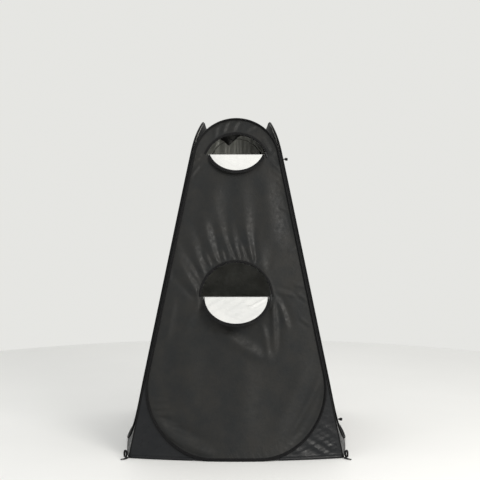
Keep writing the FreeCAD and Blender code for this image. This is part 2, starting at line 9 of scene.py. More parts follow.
import bpy
import numpy as np
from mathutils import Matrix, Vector


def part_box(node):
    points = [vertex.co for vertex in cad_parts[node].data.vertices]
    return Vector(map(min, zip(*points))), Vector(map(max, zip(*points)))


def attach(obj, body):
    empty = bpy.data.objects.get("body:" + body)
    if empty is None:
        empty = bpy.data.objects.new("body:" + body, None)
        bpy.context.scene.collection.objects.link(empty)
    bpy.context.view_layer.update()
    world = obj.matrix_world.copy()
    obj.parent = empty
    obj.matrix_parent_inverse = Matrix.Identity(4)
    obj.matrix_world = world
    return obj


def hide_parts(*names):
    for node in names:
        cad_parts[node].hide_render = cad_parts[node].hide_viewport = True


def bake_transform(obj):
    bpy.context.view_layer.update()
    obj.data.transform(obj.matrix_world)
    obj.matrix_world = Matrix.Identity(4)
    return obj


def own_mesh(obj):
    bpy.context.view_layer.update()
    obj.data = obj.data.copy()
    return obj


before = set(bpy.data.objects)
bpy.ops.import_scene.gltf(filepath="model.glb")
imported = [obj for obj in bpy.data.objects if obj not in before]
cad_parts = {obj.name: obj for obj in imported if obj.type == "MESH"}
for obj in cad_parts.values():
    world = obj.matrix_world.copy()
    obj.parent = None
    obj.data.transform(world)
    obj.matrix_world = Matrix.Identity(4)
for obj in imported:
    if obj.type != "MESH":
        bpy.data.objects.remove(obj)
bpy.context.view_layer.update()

# ---- Sizes that the CAD part also has ----
CORNER_REACH = 0.595
CORNER_LEAN = 0.195
HOOP_TOP = 1.925
FLARE, FLARE_HEIGHT = 0.062, 0.480
CROWN_PULL, CROWN_START = 0.022, 1.450
HOOP_INSET = 0.010
HOOP_FOOT = 0.005
HOOP_FOOT_RADIUS = 0.375
TUBE_OFFSET = 0.0075
SLEEVE_RADIUS = 0.005
HEM_HEIGHT = 0.003
FABRIC = 0.001
CHAIN_GAP = 0.0014
TAPE_WIDTH = 0.013
DOOR_INSET = 0.075
OPEN_SEAM = 0.007
FLAP_LIFT = 0.003
SIDES = ("front", "right", "back", "left")

# ---- Sizes of the finished pieces ----
CLOTH = 0.0008
OUTLINE_STEP = 0.008
LEG_LENGTH = 1.30
CELL = 0.0075
STITCH_PITCH = 0.0048
ZIP_STITCH_PITCH = 0.0046
TOOTH_PITCH = 0.0026
STITCH_LENGTH = 0.0032

LEAN_ANGLE = math.atan(CORNER_LEAN)
ARCH_RADIUS = ((CORNER_REACH - HOOP_INSET - CORNER_LEAN * HOOP_TOP) * math.cos(LEAN_ANGLE)
               / (1 - math.sin(LEAN_ANGLE)))
ARCH_CENTRE = HOOP_TOP - ARCH_RADIUS
ARCH_END = math.pi / 2 - LEAN_ANGLE
NOTCH = ARCH_CENTRE + ARCH_RADIUS * math.sin(LEAN_ANGLE)
FOOT_CENTRE_Z = HOOP_FOOT + HOOP_FOOT_RADIUS
FOOT_CENTRE_X = (CORNER_REACH - HOOP_INSET - CORNER_LEAN * FOOT_CENTRE_Z
                 - HOOP_FOOT_RADIUS / math.cos(LEAN_ANGLE))


def corner(z):
    """Distance of a corner seam from the middle planes at height z."""
    return CORNER_REACH - CORNER_LEAN * z


def depth(x, z):
    """Distance of a wall's inner face from the middle."""
    across = np.minimum(1, np.abs(x) / corner(z))
    flare = FLARE * np.maximum(0, 1 - z / FLARE_HEIGHT) ** 2 * (1 - across ** 2)
    rise = np.maximum(0, (z - CROWN_START) / (HOOP_TOP - CROWN_START))
    return corner(z) + flare - CROWN_PULL * rise ** 2 * (1 - across ** 4)


def lean(x, z):
    """How far a wall leans in for each metre up."""
    step = 0.005
    return (depth(x, z - step) - depth(x, z + step)) / (2 * step)


def on_wall(x, z, out):
    """Points on the front wall, that far out from its inner face."""
    x, z = np.asarray(x, float), np.asarray(z, float)
    return np.stack([x, -depth(x, z) - out * np.hypot(1, lean(x, z)), z], axis=-1)


def smooth(value, low, high):
    """Eased step from 0 at low to 1 at high."""
    t = np.clip((value - low) / (high - low), 0, 1)
    return t * t * (3 - 2 * t)


# ---- Vents ----
class Vent:
    """A half-round opening. Its frame starts at the sill's middle: x across, y up the wall, z outwards."""

    def __init__(self, name, sill, rise, half_width, stand):
        self.name = name
        self.radius = (half_width ** 2 + rise ** 2) / (2 * rise)
        self.drop = self.radius - rise
        self.rise = rise
        self.stand = math.radians(stand)
        slope = math.atan(lean(0.0, sill + rise / 2))
        self.out = np.array([0, -math.cos(slope), math.sin(slope)])
        self.up = np.array([0, math.sin(slope), math.cos(slope)])
        middle = np.array([0, -depth(0.0, sill + rise / 2), sill + rise / 2])
        self.origin = middle - self.up * (rise / 2 / math.cos(slope))
        self.start = math.asin(self.drop / self.radius)
        self.flap_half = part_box(name + "_flap")[1].x

    def place(self, x, y, z):
        x, y, z = np.broadcast_arrays(np.asarray(x, float), y, z)
        across = x[..., None] * np.array([1.0, 0, 0])
        return self.origin + across + y[..., None] * self.up + z[..., None] * self.out

    def flat(self, x, z):
        """Where points of the wall's front view lie in the vent's plane: x, and y up the wall."""
        return x, (z - self.origin[2]) / self.up[2]

    def hang(self, x, along, off):
        """Points of the hanging flap, that far down from its hinge and off its middle towards the front."""
        c, s = math.cos(self.stand), math.sin(self.stand)
        return self.place(x, -along * c + off * s, FLAP_LIFT + along * s + off * c)


ARCH_MARGIN, SILL_DROP, SIDE_MARGIN = 0.092, 0.013, 0.075
UPPER_SILL = NOTCH - SILL_DROP
VENTS = {
    "upper": Vent("upper", UPPER_SILL, HOOP_TOP - ARCH_MARGIN - UPPER_SILL,
                  corner(UPPER_SILL) - HOOP_INSET - SIDE_MARGIN, 12),
    "middle": Vent("middle", 0.878, 0.200, 0.200, 28),
}


# ---- Outlines of a wall and its door, in the front view ----
def outline(inset):
    """The hoop's closed outline set in by an amount: points from the arch's top round by the +x leg and the
    foot, and the normals that point away from the middle."""
    arch, foot = ARCH_RADIUS - inset, HOOP_FOOT_RADIUS - inset
    normal = np.array([math.cos(LEAN_ANGLE), math.sin(LEAN_ANGLE)])
    leg_top = np.array([0, ARCH_CENTRE]) + arch * normal
    leg_foot = np.array([FOOT_CENTRE_X, FOOT_CENTRE_Z]) + foot * normal
    half = []
    count = round(ARCH_RADIUS * ARCH_END / OUTLINE_STEP)
    for k in range(count):
        a = math.pi / 2 - ARCH_END * k / count
        half.append(((arch * math.cos(a), ARCH_CENTRE + arch * math.sin(a)), (math.cos(a), math.sin(a))))
    count = round(LEG_LENGTH / OUTLINE_STEP)
    for k in range(count):
        half.append((tuple(leg_top + (leg_foot - leg_top) * k / count), tuple(normal)))
    turn = math.pi / 2 + LEAN_ANGLE
    count = round(HOOP_FOOT_RADIUS * turn / OUTLINE_STEP)
    for k in range(count + 1):
        a = LEAN_ANGLE - turn * k / count
        half.append(((FOOT_CENTRE_X + foot * math.cos(a), FOOT_CENTRE_Z + foot * math.sin(a)),
                     (math.cos(a), math.sin(a))))
    count = round(FOOT_CENTRE_X / OUTLINE_STEP)
    for k in range(1, count + 1):
        half.append(((FOOT_CENTRE_X * (1 - k / count), HOOP_FOOT + inset), (0, -1)))
    whole = half + [((-x, z), (-n, m)) for (x, z), (n, m) in reversed(half[1:-1])]
    return np.array([p for p, _ in whole]), np.array([n for _, n in whole])


def half_width(z, inset=0.0):
    """Half the width inside a hoop's outline, set in by an amount, at height z."""
    arch, foot = ARCH_RADIUS - inset, HOOP_FOOT_RADIUS - inset
    leg = corner(z) - HOOP_INSET - inset / math.cos(LEAN_ANGLE)
    top = np.sqrt(np.maximum(0, arch ** 2 - (z - ARCH_CENTRE) ** 2))
    low = FOOT_CENTRE_X + np.sqrt(np.maximum(0, foot ** 2 - (z - FOOT_CENTRE_Z) ** 2))
    wide = np.where(z > ARCH_CENTRE + arch * math.sin(LEAN_ANGLE), top, leg)
    return np.where(z < FOOT_CENTRE_Z + foot * math.sin(LEAN_ANGLE), low, wide)


FOOT_TURN, ARCH_TURN = 1.76, 1.38


def heights(inset):
    """Heights of the rows of a wall's mesh, closer together round the ends of its bends."""
    arch, foot = ARCH_RADIUS - inset, HOOP_FOOT_RADIUS - inset
    low = FOOT_CENTRE_Z + foot * math.sin(LEAN_ANGLE)
    high = ARCH_CENTRE + arch * math.sin(LEAN_ANGLE)
    turns = np.linspace(-math.pi / 2, LEAN_ANGLE, max(4, round(foot * FOOT_TURN / CELL)))
    rows = list(FOOT_CENTRE_Z + foot * np.sin(turns))
    rows += list(np.linspace(low, high, round((high - low) / CELL))[1:-1])
    turns = np.linspace(LEAN_ANGLE, math.pi / 2, max(4, round(arch * ARCH_TURN / CELL)))
    return np.array(rows + list(ARCH_CENTRE + arch * np.sin(turns)))


FOOT_END = 0.45


def edge_distance(x, z):
    """How far inside the hoop's outline a point lies, and how far along the hoop."""
    ax = np.abs(x)
    arch = ARCH_RADIUS - np.hypot(ax, z - ARCH_CENTRE)
    leg = (corner(z) - HOOP_INSET - ax) * math.cos(LEAN_ANGLE)
    foot = HOOP_FOOT_RADIUS - np.hypot(ax - FOOT_CENTRE_X, z - FOOT_CENTRE_Z)
    bottom = z - HOOP_FOOT
    along_arch = NOTCH + ARCH_RADIUS * (np.arctan2(z - ARCH_CENTRE, ax) - LEAN_ANGLE)
    turn = np.arctan2(z - FOOT_CENTRE_Z, ax - FOOT_CENTRE_X)
    along_foot = HOOP_FOOT_RADIUS * (turn - LEAN_ANGLE) + FOOT_END
    upper = z > NOTCH
    lower = (z < FOOT_END) & (ax > FOOT_CENTRE_X)
    far = np.where(upper, arch, np.where(lower, foot, np.minimum(leg, bottom)))
    along = np.where(upper, along_arch, np.where(lower, along_foot, np.where(z < 0.3, x - 1, z)))
    return np.maximum(far, 0), along


# ---- Relief ----
def ripple(value, seed, longest, count=6):
    """Uneven waves from -1 to 1 along a value in metres, with lengths from a quarter of longest up to it."""
    rng = np.random.default_rng(seed)
    total = 0
    for k in range(count):
        length = longest * (0.25 + 0.75 * rng.random())
        total = total + np.sin(2 * math.pi * value / length + 6.3 * rng.random()) * (0.5 + 0.5 * rng.random())
    return total / (0.6 * count)


def beside(x, z, start, end, bow):
    """Share of the way from start to end at which points lie, and how far to the left of that bowed line."""
    (x0, z0), (x1, z1) = start, end
    long = math.hypot(x1 - x0, z1 - z0)
    tx, tz = (x1 - x0) / long, (z1 - z0) / long
    along = ((x - x0) * tx + (z - z0) * tz) / long
    return along, (x - x0) * -tz + (z - z0) * tx - bow * 4 * along * (1 - along)


def fold(x, z, start, end, width, height, bow=0.0):
    """A soft ridge from start to end, with a shallow hollow beside it on its lower side."""
    along, side = beside(x, z, start, end, bow)
    ends = smooth(along, -0.15, 0.25) * smooth(-along, -1.12, -0.75)
    ridge = np.exp(-(side / width) ** 2) - 0.55 * np.exp(-((side - 1.7 * width) / (1.3 * width)) ** 2)
    return height * ridge * ends


def pleat(x, z, start, end, width, height, bow=0.0):
    """A pleat gathered at its start: highest and narrowest there, then spreading and fading."""
    along, side = beside(x, z, start, end, bow)
    spread = width * (0.55 + 1.1 * np.clip(along, 0, 1.2))
    body = smooth(along, -0.10, 0.06) * (1 - smooth(along, 0.15, 1.15))
    across = side / (1.15 * spread)
    return 0.85 * height * body * (np.exp(-across ** 2) - 0.5 * np.exp(-((np.abs(across) - 1.9) / 0.9) ** 2))


PUCKER_HEIGHT, PUCKER_REACH = 0.0016, 0.040


def puckers(x, z, seed):
    """Short slanting wrinkles along the hoop, and slow swells over the whole wall."""
    far, along = edge_distance(x, z)
    slant = along + 0.55 * far
    near = np.exp(-far / PUCKER_REACH) * smooth(far, 0.003, 0.013)
    patches = 0.35 + 0.65 * smooth(ripple(along, seed + 5, 0.9, 4), -0.4, 0.7)
    wrinkles = PUCKER_HEIGHT * ripple(slant, seed, 0.055) * near * patches
    slow = ripple(x * 0.9 + z * 0.5, seed + 1, 0.9, 4) + ripple(z - x * 0.7, seed + 2, 1.1, 4)
    fine = ripple(x + 0.3 * z, seed + 3, 0.16, 5) * ripple(z, seed + 4, 0.7, 3)
    inner = smooth(far, 0.005, 0.12)
    return wrinkles + inner * (0.0022 * slow + 0.0007 * fine)


# Folds of the front wall, in metres on its front view: start, end, width, height, bow.
FRONT_FOLDS = [
    # below the ends and the foot of the middle vent
    ((0.208, 0.880), (0.214, 0.560), 0.017, 0.0075, 0.004),
    ((0.226, 0.880), (0.292, 0.700), 0.016, 0.0060, 0.006),
    ((0.232, 0.905), (0.350, 0.880), 0.012, 0.0036, 0.004),
    ((0.150, 0.715), (0.186, 0.520), 0.020, 0.0052, 0.004),
    ((-0.090, 0.690), (0.175, 0.530), 0.032, 0.0085, -0.010),
    ((-0.200, 0.868), (-0.300, 0.700), 0.024, 0.0050, 0.006),
    ((-0.360, 0.860), (-0.400, 0.640), 0.022, 0.0045, 0.004),
    # slow swells of the slack cloth between the two vents and below them
    ((-0.120, 1.560), (-0.200, 1.180), 0.050, 0.0050, 0.010),
    ((0.170, 1.560), (0.230, 1.150), 0.055, 0.0060, -0.010),
    ((0.020, 1.540), (0.060, 1.220), 0.045, 0.0036, 0.010),
    ((-0.260, 0.600), (-0.300, 0.260), 0.060, 0.0050, 0.010),
    ((0.060, 0.520), (0.020, 0.160), 0.060, 0.0046, 0.010),
    # right edge
    ((0.411, 0.855), (0.335, 0.906), 0.009, 0.0022, 0.0),
    ((0.401, 0.934), (0.326, 0.948), 0.009, 0.0022, 0.0),
    ((0.426, 0.715), (0.360, 0.762), 0.010, 0.0020, 0.0),
    ((0.308, 1.369), (0.248, 1.397), 0.009, 0.0024, 0.0),
    ((0.350, 1.160), (0.300, 1.130), 0.010, 0.0018, 0.0),
    # long soft fold down to the lower right bend, and the folds over the lower left one
    ((0.484, 0.455), (0.280, 0.100), 0.026, 0.0080, 0.012),
    ((0.400, 0.500), (0.200, 0.100), 0.050, 0.0070, 0.010),
    ((-0.415, 0.150), (-0.130, 0.040), 0.026, 0.0110, -0.008),
    ((-0.440, 0.190), (-0.230, 0.105), 0.016, 0.0060, -0.006),
    ((-0.460, 0.305), (-0.385, 0.311), 0.009, 0.0032, 0.0),
    ((-0.462, 0.268), (-0.375, 0.272), 0.010, 0.0040, 0.0),
    ((-0.450, 0.232), (-0.350, 0.236), 0.010, 0.0044, 0.0),
    ((-0.435, 0.200), (-0.320, 0.172), 0.012, 0.0050, 0.0),
    # band over the upper vent, and beside it
    ((-0.053, 1.912), (-0.080, 1.842), 0.012, 0.0046, 0.0),
    ((0.010, 1.916), (-0.026, 1.846), 0.013, 0.0048, 0.0),
    ((-0.120, 1.880), (-0.125, 1.810), 0.013, 0.0034, 0.0),
    ((0.124, 1.884), (0.060, 1.860), 0.010, 0.0034, 0.0),
    ((0.156, 1.800), (0.205, 1.716), 0.012, 0.0044, 0.0),
    ((0.176, 1.700), (0.232, 1.720), 0.011, 0.0036, 0.0),
    ((0.205, 1.662), (0.266, 1.612), 0.012, 0.0050, 0.0),
    ((0.215, 1.610), (0.270, 1.575), 0.009, 0.0024, 0.0),
    ((0.240, 1.545), (0.282, 1.516), 0.009, 0.0024, 0.0),
    ((0.262, 1.490), (0.292, 1.462), 0.009, 0.0020, 0.0),
    ((-0.214, 1.682), (-0.256, 1.673), 0.008, 0.0028, 0.0),
    ((-0.218, 1.640), (-0.272, 1.578), 0.009, 0.0030, 0.0),
    ((-0.200, 1.700), (-0.245, 1.712), 0.009, 0.0020, 0.0),
]
# Pleats that fan up and to the left from the middle vent's arc: start, end, width, height, bow.
FAN = [
    ((-0.208, 0.885), (-0.375, 1.190), 0.026, 0.0125, 0.014),
    ((-0.200, 0.945), (-0.300, 1.150), 0.011, 0.0046, 0.008),
    ((-0.182, 1.005), (-0.285, 1.290), 0.020, 0.0080, 0.014),
    ((-0.147, 1.050), (-0.196, 1.210), 0.010, 0.0040, 0.006),
    ((-0.112, 1.078), (-0.205, 1.390), 0.020, 0.0082, 0.012),
    ((-0.066, 1.096), (-0.104, 1.230), 0.010, 0.0042, 0.004),
    ((-0.030, 1.102), (-0.130, 1.440), 0.019, 0.0080, 0.012),
    ((0.016, 1.101), (-0.038, 1.290), 0.011, 0.0050, 0.006),
    ((0.056, 1.096), (0.022, 1.210), 0.009, 0.0036, 0.004),
    ((0.098, 1.080), (0.040, 1.400), 0.018, 0.0125, 0.008),
    ((0.150, 1.040), (0.150, 1.300), 0.030, 0.0040, 0.006),
]
# Short pleats between them, gathered by the stitching of the arc: angle, length.
ARC_PLEATS = [(56, 0.040), (66, 0.055), (72, 0.045), (79, 0.060), (86, 0.050), (93, 0.065), (100, 0.050),
              (107, 0.070), (116, 0.060), (125, 0.070), (135, 0.060), (147, 0.060), (160, 0.050)]


def plain_relief(seed, folds, known=()):
    """Relief of a wall with no vents: puckers and a few soft folds, different on each wall."""
    rng = np.random.default_rng(seed)
    made = list(known)
    for k in range(folds):
        z0 = 0.2 + 1.3 * (k + rng.random()) / folds
        end = rng.choice((-1, 1))
        x0 = end * (corner(z0) - 0.03)
        reach = 0.10 + 0.22 * rng.random()
        drop = (rng.random() - 0.35) * 0.35
        made.append(((x0, z0), (x0 - end * reach, z0 + drop), 0.010 + 0.022 * rng.random(),
                     0.002 + 0.004 * rng.random(), 0.02 * (rng.random() - 0.5)))

    def relief(x, z):
        far = edge_distance(x, z)[0]
        total = puckers(x, z, seed)
        for start, end, width, height, bow in made:
            total = total + fold(x, z, start, end, width, height, bow) * smooth(far, 0.004, 0.03)
        return total
    return relief


def front_relief(x, z):
    """Relief of the front wall. It dies away where the vents' tapes are sewn on, and is low under flaps."""
    far = edge_distance(x, z)[0]
    total = puckers(x, z, 11)
    for start, end, width, height, bow in FRONT_FOLDS:
        total = total + fold(x, z, start, end, width, height, bow) * smooth(far, 0.004, 0.03)
    vent = VENTS["middle"]
    for degrees, length in ARC_PLEATS:
        a = math.radians(degrees)
        near = vent.radius + TAPE_WIDTH
        start = (near * math.cos(a), vent.origin[2] + near * math.sin(a) * vent.up[2])
        end = (start[0] + length * math.cos(a + 0.2), start[1] + length * math.sin(a + 0.2))
        total = total + pleat(x, z, start, end, 0.0075, 0.0034)
    for start, end, width, height, bow in FAN:
        total = total + pleat(x, z, start, end, width, height, bow) * smooth(far, 0.004, 0.03)
    for vent in VENTS.values():
        px, py = vent.flat(x, z)
        round_it = np.where(py > 0, np.hypot(px, py + vent.drop), np.maximum(np.abs(px), vent.radius - 0.1))
        clear = vent.radius + CHAIN_GAP + TAPE_WIDTH
        reach = np.abs(round_it - vent.radius)
        band = np.where(py > -0.004, smooth(reach, TAPE_WIDTH + CHAIN_GAP, TAPE_WIDTH + 0.016), 1)
        under = (py <= 0) & (np.hypot(px, py - vent.drop) < clear)
        total = np.where(under, np.minimum(total, 0.0012) * smooth(-py, 0.002, 0.03), total * band)
    return total


# Slack upright folds under the back arch.
BACK_FOLDS = [
    ((0.105, 1.86), (0.125, 1.50), 0.016, 0.0070, 0.004),
    ((0.040, 1.88), (0.060, 1.45), 0.015, 0.0075, 0.004),
    ((-0.010, 1.89), (-0.015, 1.50), 0.012, 0.0050, 0.004),
    ((-0.055, 1.88), (-0.060, 1.55), 0.015, 0.0080, 0.004),
    ((-0.110, 1.86), (-0.130, 1.50), 0.016, 0.0060, 0.004),
]
RELIEFS = {"front": front_relief, "right": plain_relief(21, 9), "back": plain_relief(31, 7, BACK_FOLDS),
           "left": plain_relief(41, 9)}


# ---- Mesh making ----
def turned(points, side):
    """Points of a front wall's piece turned to the named side."""
    a = math.radians(90 * SIDES.index(side))
    c, s = math.cos(a), math.sin(a)
    return np.stack([points[..., 0] * c - points[..., 1] * s, points[..., 0] * s + points[..., 1] * c,
                     points[..., 2]], axis=-1)


def make(name, points, faces, materials, body=None, replaced=()):
    """A piece from arrays of points and faces."""
    mesh = bpy.data.meshes.new(name)
    points = np.asarray(points, float).reshape(-1, 3)
    mesh.from_pydata([tuple(p) for p in points], [], [tuple(f) for f in faces])
    mesh.validate()
    mesh.polygons.foreach_set("use_smooth", [True] * len(mesh.polygons))
    piece = bpy.data.objects.new(name, mesh)
    bpy.context.scene.collection.objects.link(piece)
    for material in materials if isinstance(materials, (list, tuple)) else [materials]:
        mesh.materials.append(material)
    if body:
        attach(piece, body)
    if replaced:
        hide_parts(*replaced)
    return piece


def grid_faces(rows, columns, closed_rows=False, closed_columns=False):
    """Quads of a grid of points stored row by row."""
    i = np.arange(rows if closed_rows else rows - 1)
    j = np.arange(columns if closed_columns else columns - 1)
    i, j = np.meshgrid(i, j, indexing="ij")
    i2, j2 = (i + 1) % rows, (j + 1) % columns
    quads = (i * columns + j, i * columns + j2, i2 * columns + j2, i2 * columns + j)
    return np.stack(quads, axis=-1).reshape(-1, 4)


def capped(rows, columns):
    """Faces of a bar whose rows are rings: its skin and its two ends."""
    last = (rows - 1) * columns
    return [list(f) for f in grid_faces(rows, columns, False, True)] + [
        list(range(columns))[::-1], [last + k for k in range(columns)]]


def thicken(piece, thickness=CLOTH, inner=0):
    """Gives a sheet its thickness, inwards from its outer face. Inner 1 lines it with the next material."""
    solid = piece.modifiers.new("thickness", "SOLIDIFY")
    solid.thickness = thickness
    solid.offset = -1
    solid.material_offset = inner
    return piece


def tube(path, normals, across, profile, closed=True):
    """Points and faces of a profile swept along a path. The profile is in metres along normals and across."""
    path, normals, across = (np.asarray(a, float) for a in (path, normals, across))
    profile = np.asarray(profile, float)
    points = path[:, None] + normals[:, None] * profile[None, :, :1] + across[:, None] * profile[None, :, 1:]
    size = len(path), len(profile)
    return points.reshape(-1, 3), grid_faces(*size, True, True) if closed else capped(*size)


def joined(parts):
    """Several (points, faces) as one."""
    points, faces, count = [], [], 0
    for p, f in parts:
        p = np.asarray(p, float).reshape(-1, 3)
        points.append(p)
        faces += [[int(i) + count for i in face] for face in f]
        count += len(p)
    return np.concatenate(points), faces


def beads(centres, along, across, out, size):
    """Small rounded blocks in a row, such as stitches or zip teeth. Size is along, across and out."""
    u, narrow = 0.7, 0.72
    ring = [(-1, -u), (-u, -1), (u, -1), (1, -u), (1, u), (u, 1), (-u, 1), (-1, u)]
    shape = np.array([(narrow * a, narrow * b, -1) for a, b in ring] + [(a, b, 0) for a, b in ring]
                     + [(narrow * a, narrow * b, 1) for a, b in ring]) / 2
    faces = [list(range(8))[::-1], list(range(16, 24))]
    for low in (0, 8):
        faces += [[low + k, low + (k + 1) % 8, low + 8 + (k + 1) % 8, low + 8 + k] for k in range(8)]
    faces = np.array(faces[2:]), np.array(faces[:2])
    n = len(centres)
    local = (shape[None, :, :1] * size[0] * along[:, None] + shape[None, :, 1:2] * size[1] * across[:, None]
             + shape[None, :, 2:] * size[2] * out[:, None])
    points = (centres[:, None] + local).reshape(-1, 3)
    step = (np.arange(n) * 24)[:, None, None]
    return points, [list(f) for f in (faces[0][None] + step).reshape(-1, 4)] + [
        list(f) for f in (faces[1][None] + step).reshape(-1, 8)]


def spaced(path, pitch, closed=False):
    """Evenly spaced places along a path: their share of its points, as floats."""
    steps = np.linalg.norm(np.diff(np.concatenate([path, path[:1]]) if closed else path, axis=0), axis=1)
    along = np.concatenate([[0], np.cumsum(steps)])
    return np.interp(np.arange(pitch / 2, along[-1], pitch), along, np.arange(len(along)))


def sample(values, places):
    """Values of an array at fractional indices, the array taken as closed."""
    low = np.floor(places).astype(int)
    t = (places - low)[:, None]
    return values[low % len(values)] * (1 - t) + values[(low + 1) % len(values)] * t


def bead_row(name, centres, directions, places, size, material, body):
    """Beads as a piece. Directions along, across and out of a line are sampled at their places on it."""
    points, faces = beads(centres, *(sample(d, places) for d in directions), size)
    make(name, points, faces, material, body)


def unit(v):
    """Vectors of length one."""
    return v / np.maximum(np.linalg.norm(v, axis=-1, keepdims=True), 1e-12)


def run_of(path, closed):
    """Directions along a path of points."""
    if closed:
        return unit(np.roll(path, -1, axis=0) - np.roll(path, 1, axis=0))
    return unit(np.gradient(path, axis=0))


def wall_frame(x, z, out, normals, side, closed=True, relief=None):
    """A line on a wall: its points, the wall's normal, and the way across the line, away from the middle."""
    lift = out + (relief(x, z) if relief else 0)
    path = on_wall(x, z, lift)
    slope = lean(x, z)
    normal = unit(np.stack([np.zeros_like(x), -np.ones_like(x), slope], axis=-1))
    along = run_of(path, closed)
    across = unit(np.cross(along, normal))
    away = np.stack([normals[:, 0], np.zeros(len(x)), normals[:, 1]], axis=-1)
    across = across * np.sign((across * away).sum(-1, keepdims=True))
    return turned(path, side), turned(normal, side), turned(across, side), turned(along, side)


# ---- Materials ----
def node_material(name):
    """A material with its nodes: (material, add, link, shader)."""
    material = bpy.data.materials.new(name)
    material.use_nodes = True
    tree = material.node_tree
    shader = tree.nodes["Principled BSDF"]

    def add(kind, **values):
        node = tree.nodes.new(kind)
        for key, value in values.items():
            if hasattr(node, key):
                setattr(node, key, value)
            else:
                node.inputs[key].default_value = value
        return node

    def link(source, target, socket, output=0):
        tree.links.new(source.outputs[output], target.inputs[socket])
    return material, add, link, shader


def blend_colours(add, link, factor, dark, light):
    """A ramp from a dark to a light colour by a factor from a node."""
    ramp = add("ShaderNodeValToRGB")
    ramp.color_ramp.elements[0].color = (*dark, 1)
    ramp.color_ramp.elements[1].color = (*light, 1)
    link(factor, ramp, "Fac")
    return ramp


def woven(name, dark, light, roughness, sheen, thread=0.0011, depth_mm=0.05, crinkle=0.25, specular=0.5,
          metallic=0.0, mottle=9.0, rough_range=0.12):
    """Woven cloth, coated or plain: threads both ways, slow mottling of colour and gloss, fine crinkles."""
    material, add, link, shader = node_material(name)
    place = add("ShaderNodeTexCoord")
    stretch = add("ShaderNodeMapping")
    link(place, stretch, "Vector", 3)
    slow = add("ShaderNodeTexNoise", Scale=mottle, Detail=5.0, Roughness=0.6)
    link(stretch, slow, "Vector")
    ramp = blend_colours(add, link, slow, dark, light)
    ramp.color_ramp.elements[0].position, ramp.color_ramp.elements[1].position = 0.35, 0.68
    link(ramp, shader, "Base Color")
    gloss = add("ShaderNodeMapRange", **{"From Min": 0.3, "From Max": 0.7})
    gloss.inputs["To Min"].default_value = roughness - rough_range
    gloss.inputs["To Max"].default_value = roughness + rough_range
    speckle = add("ShaderNodeTexNoise", Scale=mottle * 5, Detail=3.0)
    link(stretch, speckle, "Vector")
    link(speckle, gloss, "Value")
    link(gloss, shader, "Roughness")
    # Threads run up and across; x + y is across on every wall, whichever way it faces.
    split = add("ShaderNodeSeparateXYZ")
    link(stretch, split, "Vector")
    level = add("ShaderNodeMath", operation="ADD")
    link(split, level, 0, 0)
    link(split, level, 1, 1)
    waves = []
    for source, output in ((level, 0), (split, 2)):
        wave = add("ShaderNodeMath", operation="MULTIPLY")
        wave.inputs[1].default_value = 2 * math.pi / thread
        link(source, wave, 0, output)
        sine = add("ShaderNodeMath", operation="SINE")
        link(wave, sine, 0)
        waves.append(sine)
    weave = add("ShaderNodeMath", operation="MULTIPLY")
    link(waves[0], weave, 0)
    link(waves[1], weave, 1)
    threads = add("ShaderNodeBump", Strength=0.6, Distance=depth_mm / 1000)
    link(weave, threads, "Height")
    wrinkle = add("ShaderNodeTexNoise", Scale=38.0, Detail=4.0, Roughness=0.55, Distortion=0.6)
    link(stretch, wrinkle, "Vector")
    creases = add("ShaderNodeBump", Strength=crinkle, Distance=0.004)
    link(wrinkle, creases, "Height")
    link(threads, creases, "Normal")
    link(creases, shader, "Normal")
    shader.inputs["Specular IOR Level"].default_value = specular
    shader.inputs["Metallic"].default_value = metallic
    shader.inputs["Sheen Weight"].default_value = sheen
    shader.inputs["Sheen Roughness"].default_value = 0.4
    return material


def metal(name, dark, light, roughness, metallic, scale=400.0, strength=0.1, coat=0.0):
    """Enamelled, plated or drawn metal: fine scuffs, and colour that varies with them."""
    material, add, link, shader = node_material(name)
    place = add("ShaderNodeTexCoord")
    noise = add("ShaderNodeTexNoise", Scale=scale, Detail=6.0, Roughness=0.65)
    link(place, noise, "Vector", 3)
    link(blend_colours(add, link, noise, dark, light), shader, "Base Color")
    gloss = add("ShaderNodeMapRange")
    gloss.inputs["To Min"].default_value = roughness - 0.1
    gloss.inputs["To Max"].default_value = roughness + 0.15
    link(noise, gloss, "Value")
    link(gloss, shader, "Roughness")
    bump = add("ShaderNodeBump", Strength=strength, Distance=0.0004)
    link(noise, bump, "Height")
    link(bump, shader, "Normal")
    shader.inputs["Metallic"].default_value = metallic
    shader.inputs["Coat Weight"].default_value = coat
    return material


OUTER = woven("coated_black", (0.0085, 0.0095, 0.010), (0.0150, 0.0145, 0.0132), 0.50, 0.02, specular=0.26)
# Gussets and hems: the walls' outer cloth again, with a darker, bluer base colour that is painted shade for the
# low corners where the walls meet. The real cloth there is the same as the walls'.
SHADED_GUSSET_CLOTH = woven("coated_black_gusset", (0.0065, 0.0075, 0.009), (0.0105, 0.0110, 0.0125), 0.38, 0.01,
               crinkle=0.4, specular=0.24)
LINING = woven("silver_lining", (0.42, 0.425, 0.405), (0.62, 0.62, 0.59), 0.46, 0.0, crinkle=0.6,
               metallic=0.2)
SILVER = woven("silver_coating", (0.60, 0.605, 0.60), (0.66, 0.66, 0.65), 0.50, 0.0, crinkle=0.45,
               rough_range=0.08)
CANOPY = woven("canopy_black", (0.004, 0.004, 0.0045), (0.008, 0.008, 0.0085), 0.62, 0.02, crinkle=0.4,
               specular=0.2)
BINDING = woven("binding_black", (0.0025, 0.0025, 0.003), (0.005, 0.005, 0.0055), 0.55, 0.01, thread=0.0014,
                depth_mm=0.12, mottle=40.0, specular=0.14)
TAPE = woven("zip_tape_black", (0.003, 0.003, 0.0035), (0.006, 0.006, 0.0065), 0.60, 0.01, thread=0.0012,
             depth_mm=0.15, mottle=60.0, specular=0.14)
WEBBING = woven("webbing_black", (0.004, 0.004, 0.0045), (0.009, 0.009, 0.0095), 0.62, 0.02, thread=0.0022,
                depth_mm=0.4, mottle=80.0, specular=0.16)
THREAD = woven("thread_black", (0.012, 0.012, 0.0125), (0.024, 0.024, 0.025), 0.55, 0.05, thread=0.0006,
               mottle=200.0)
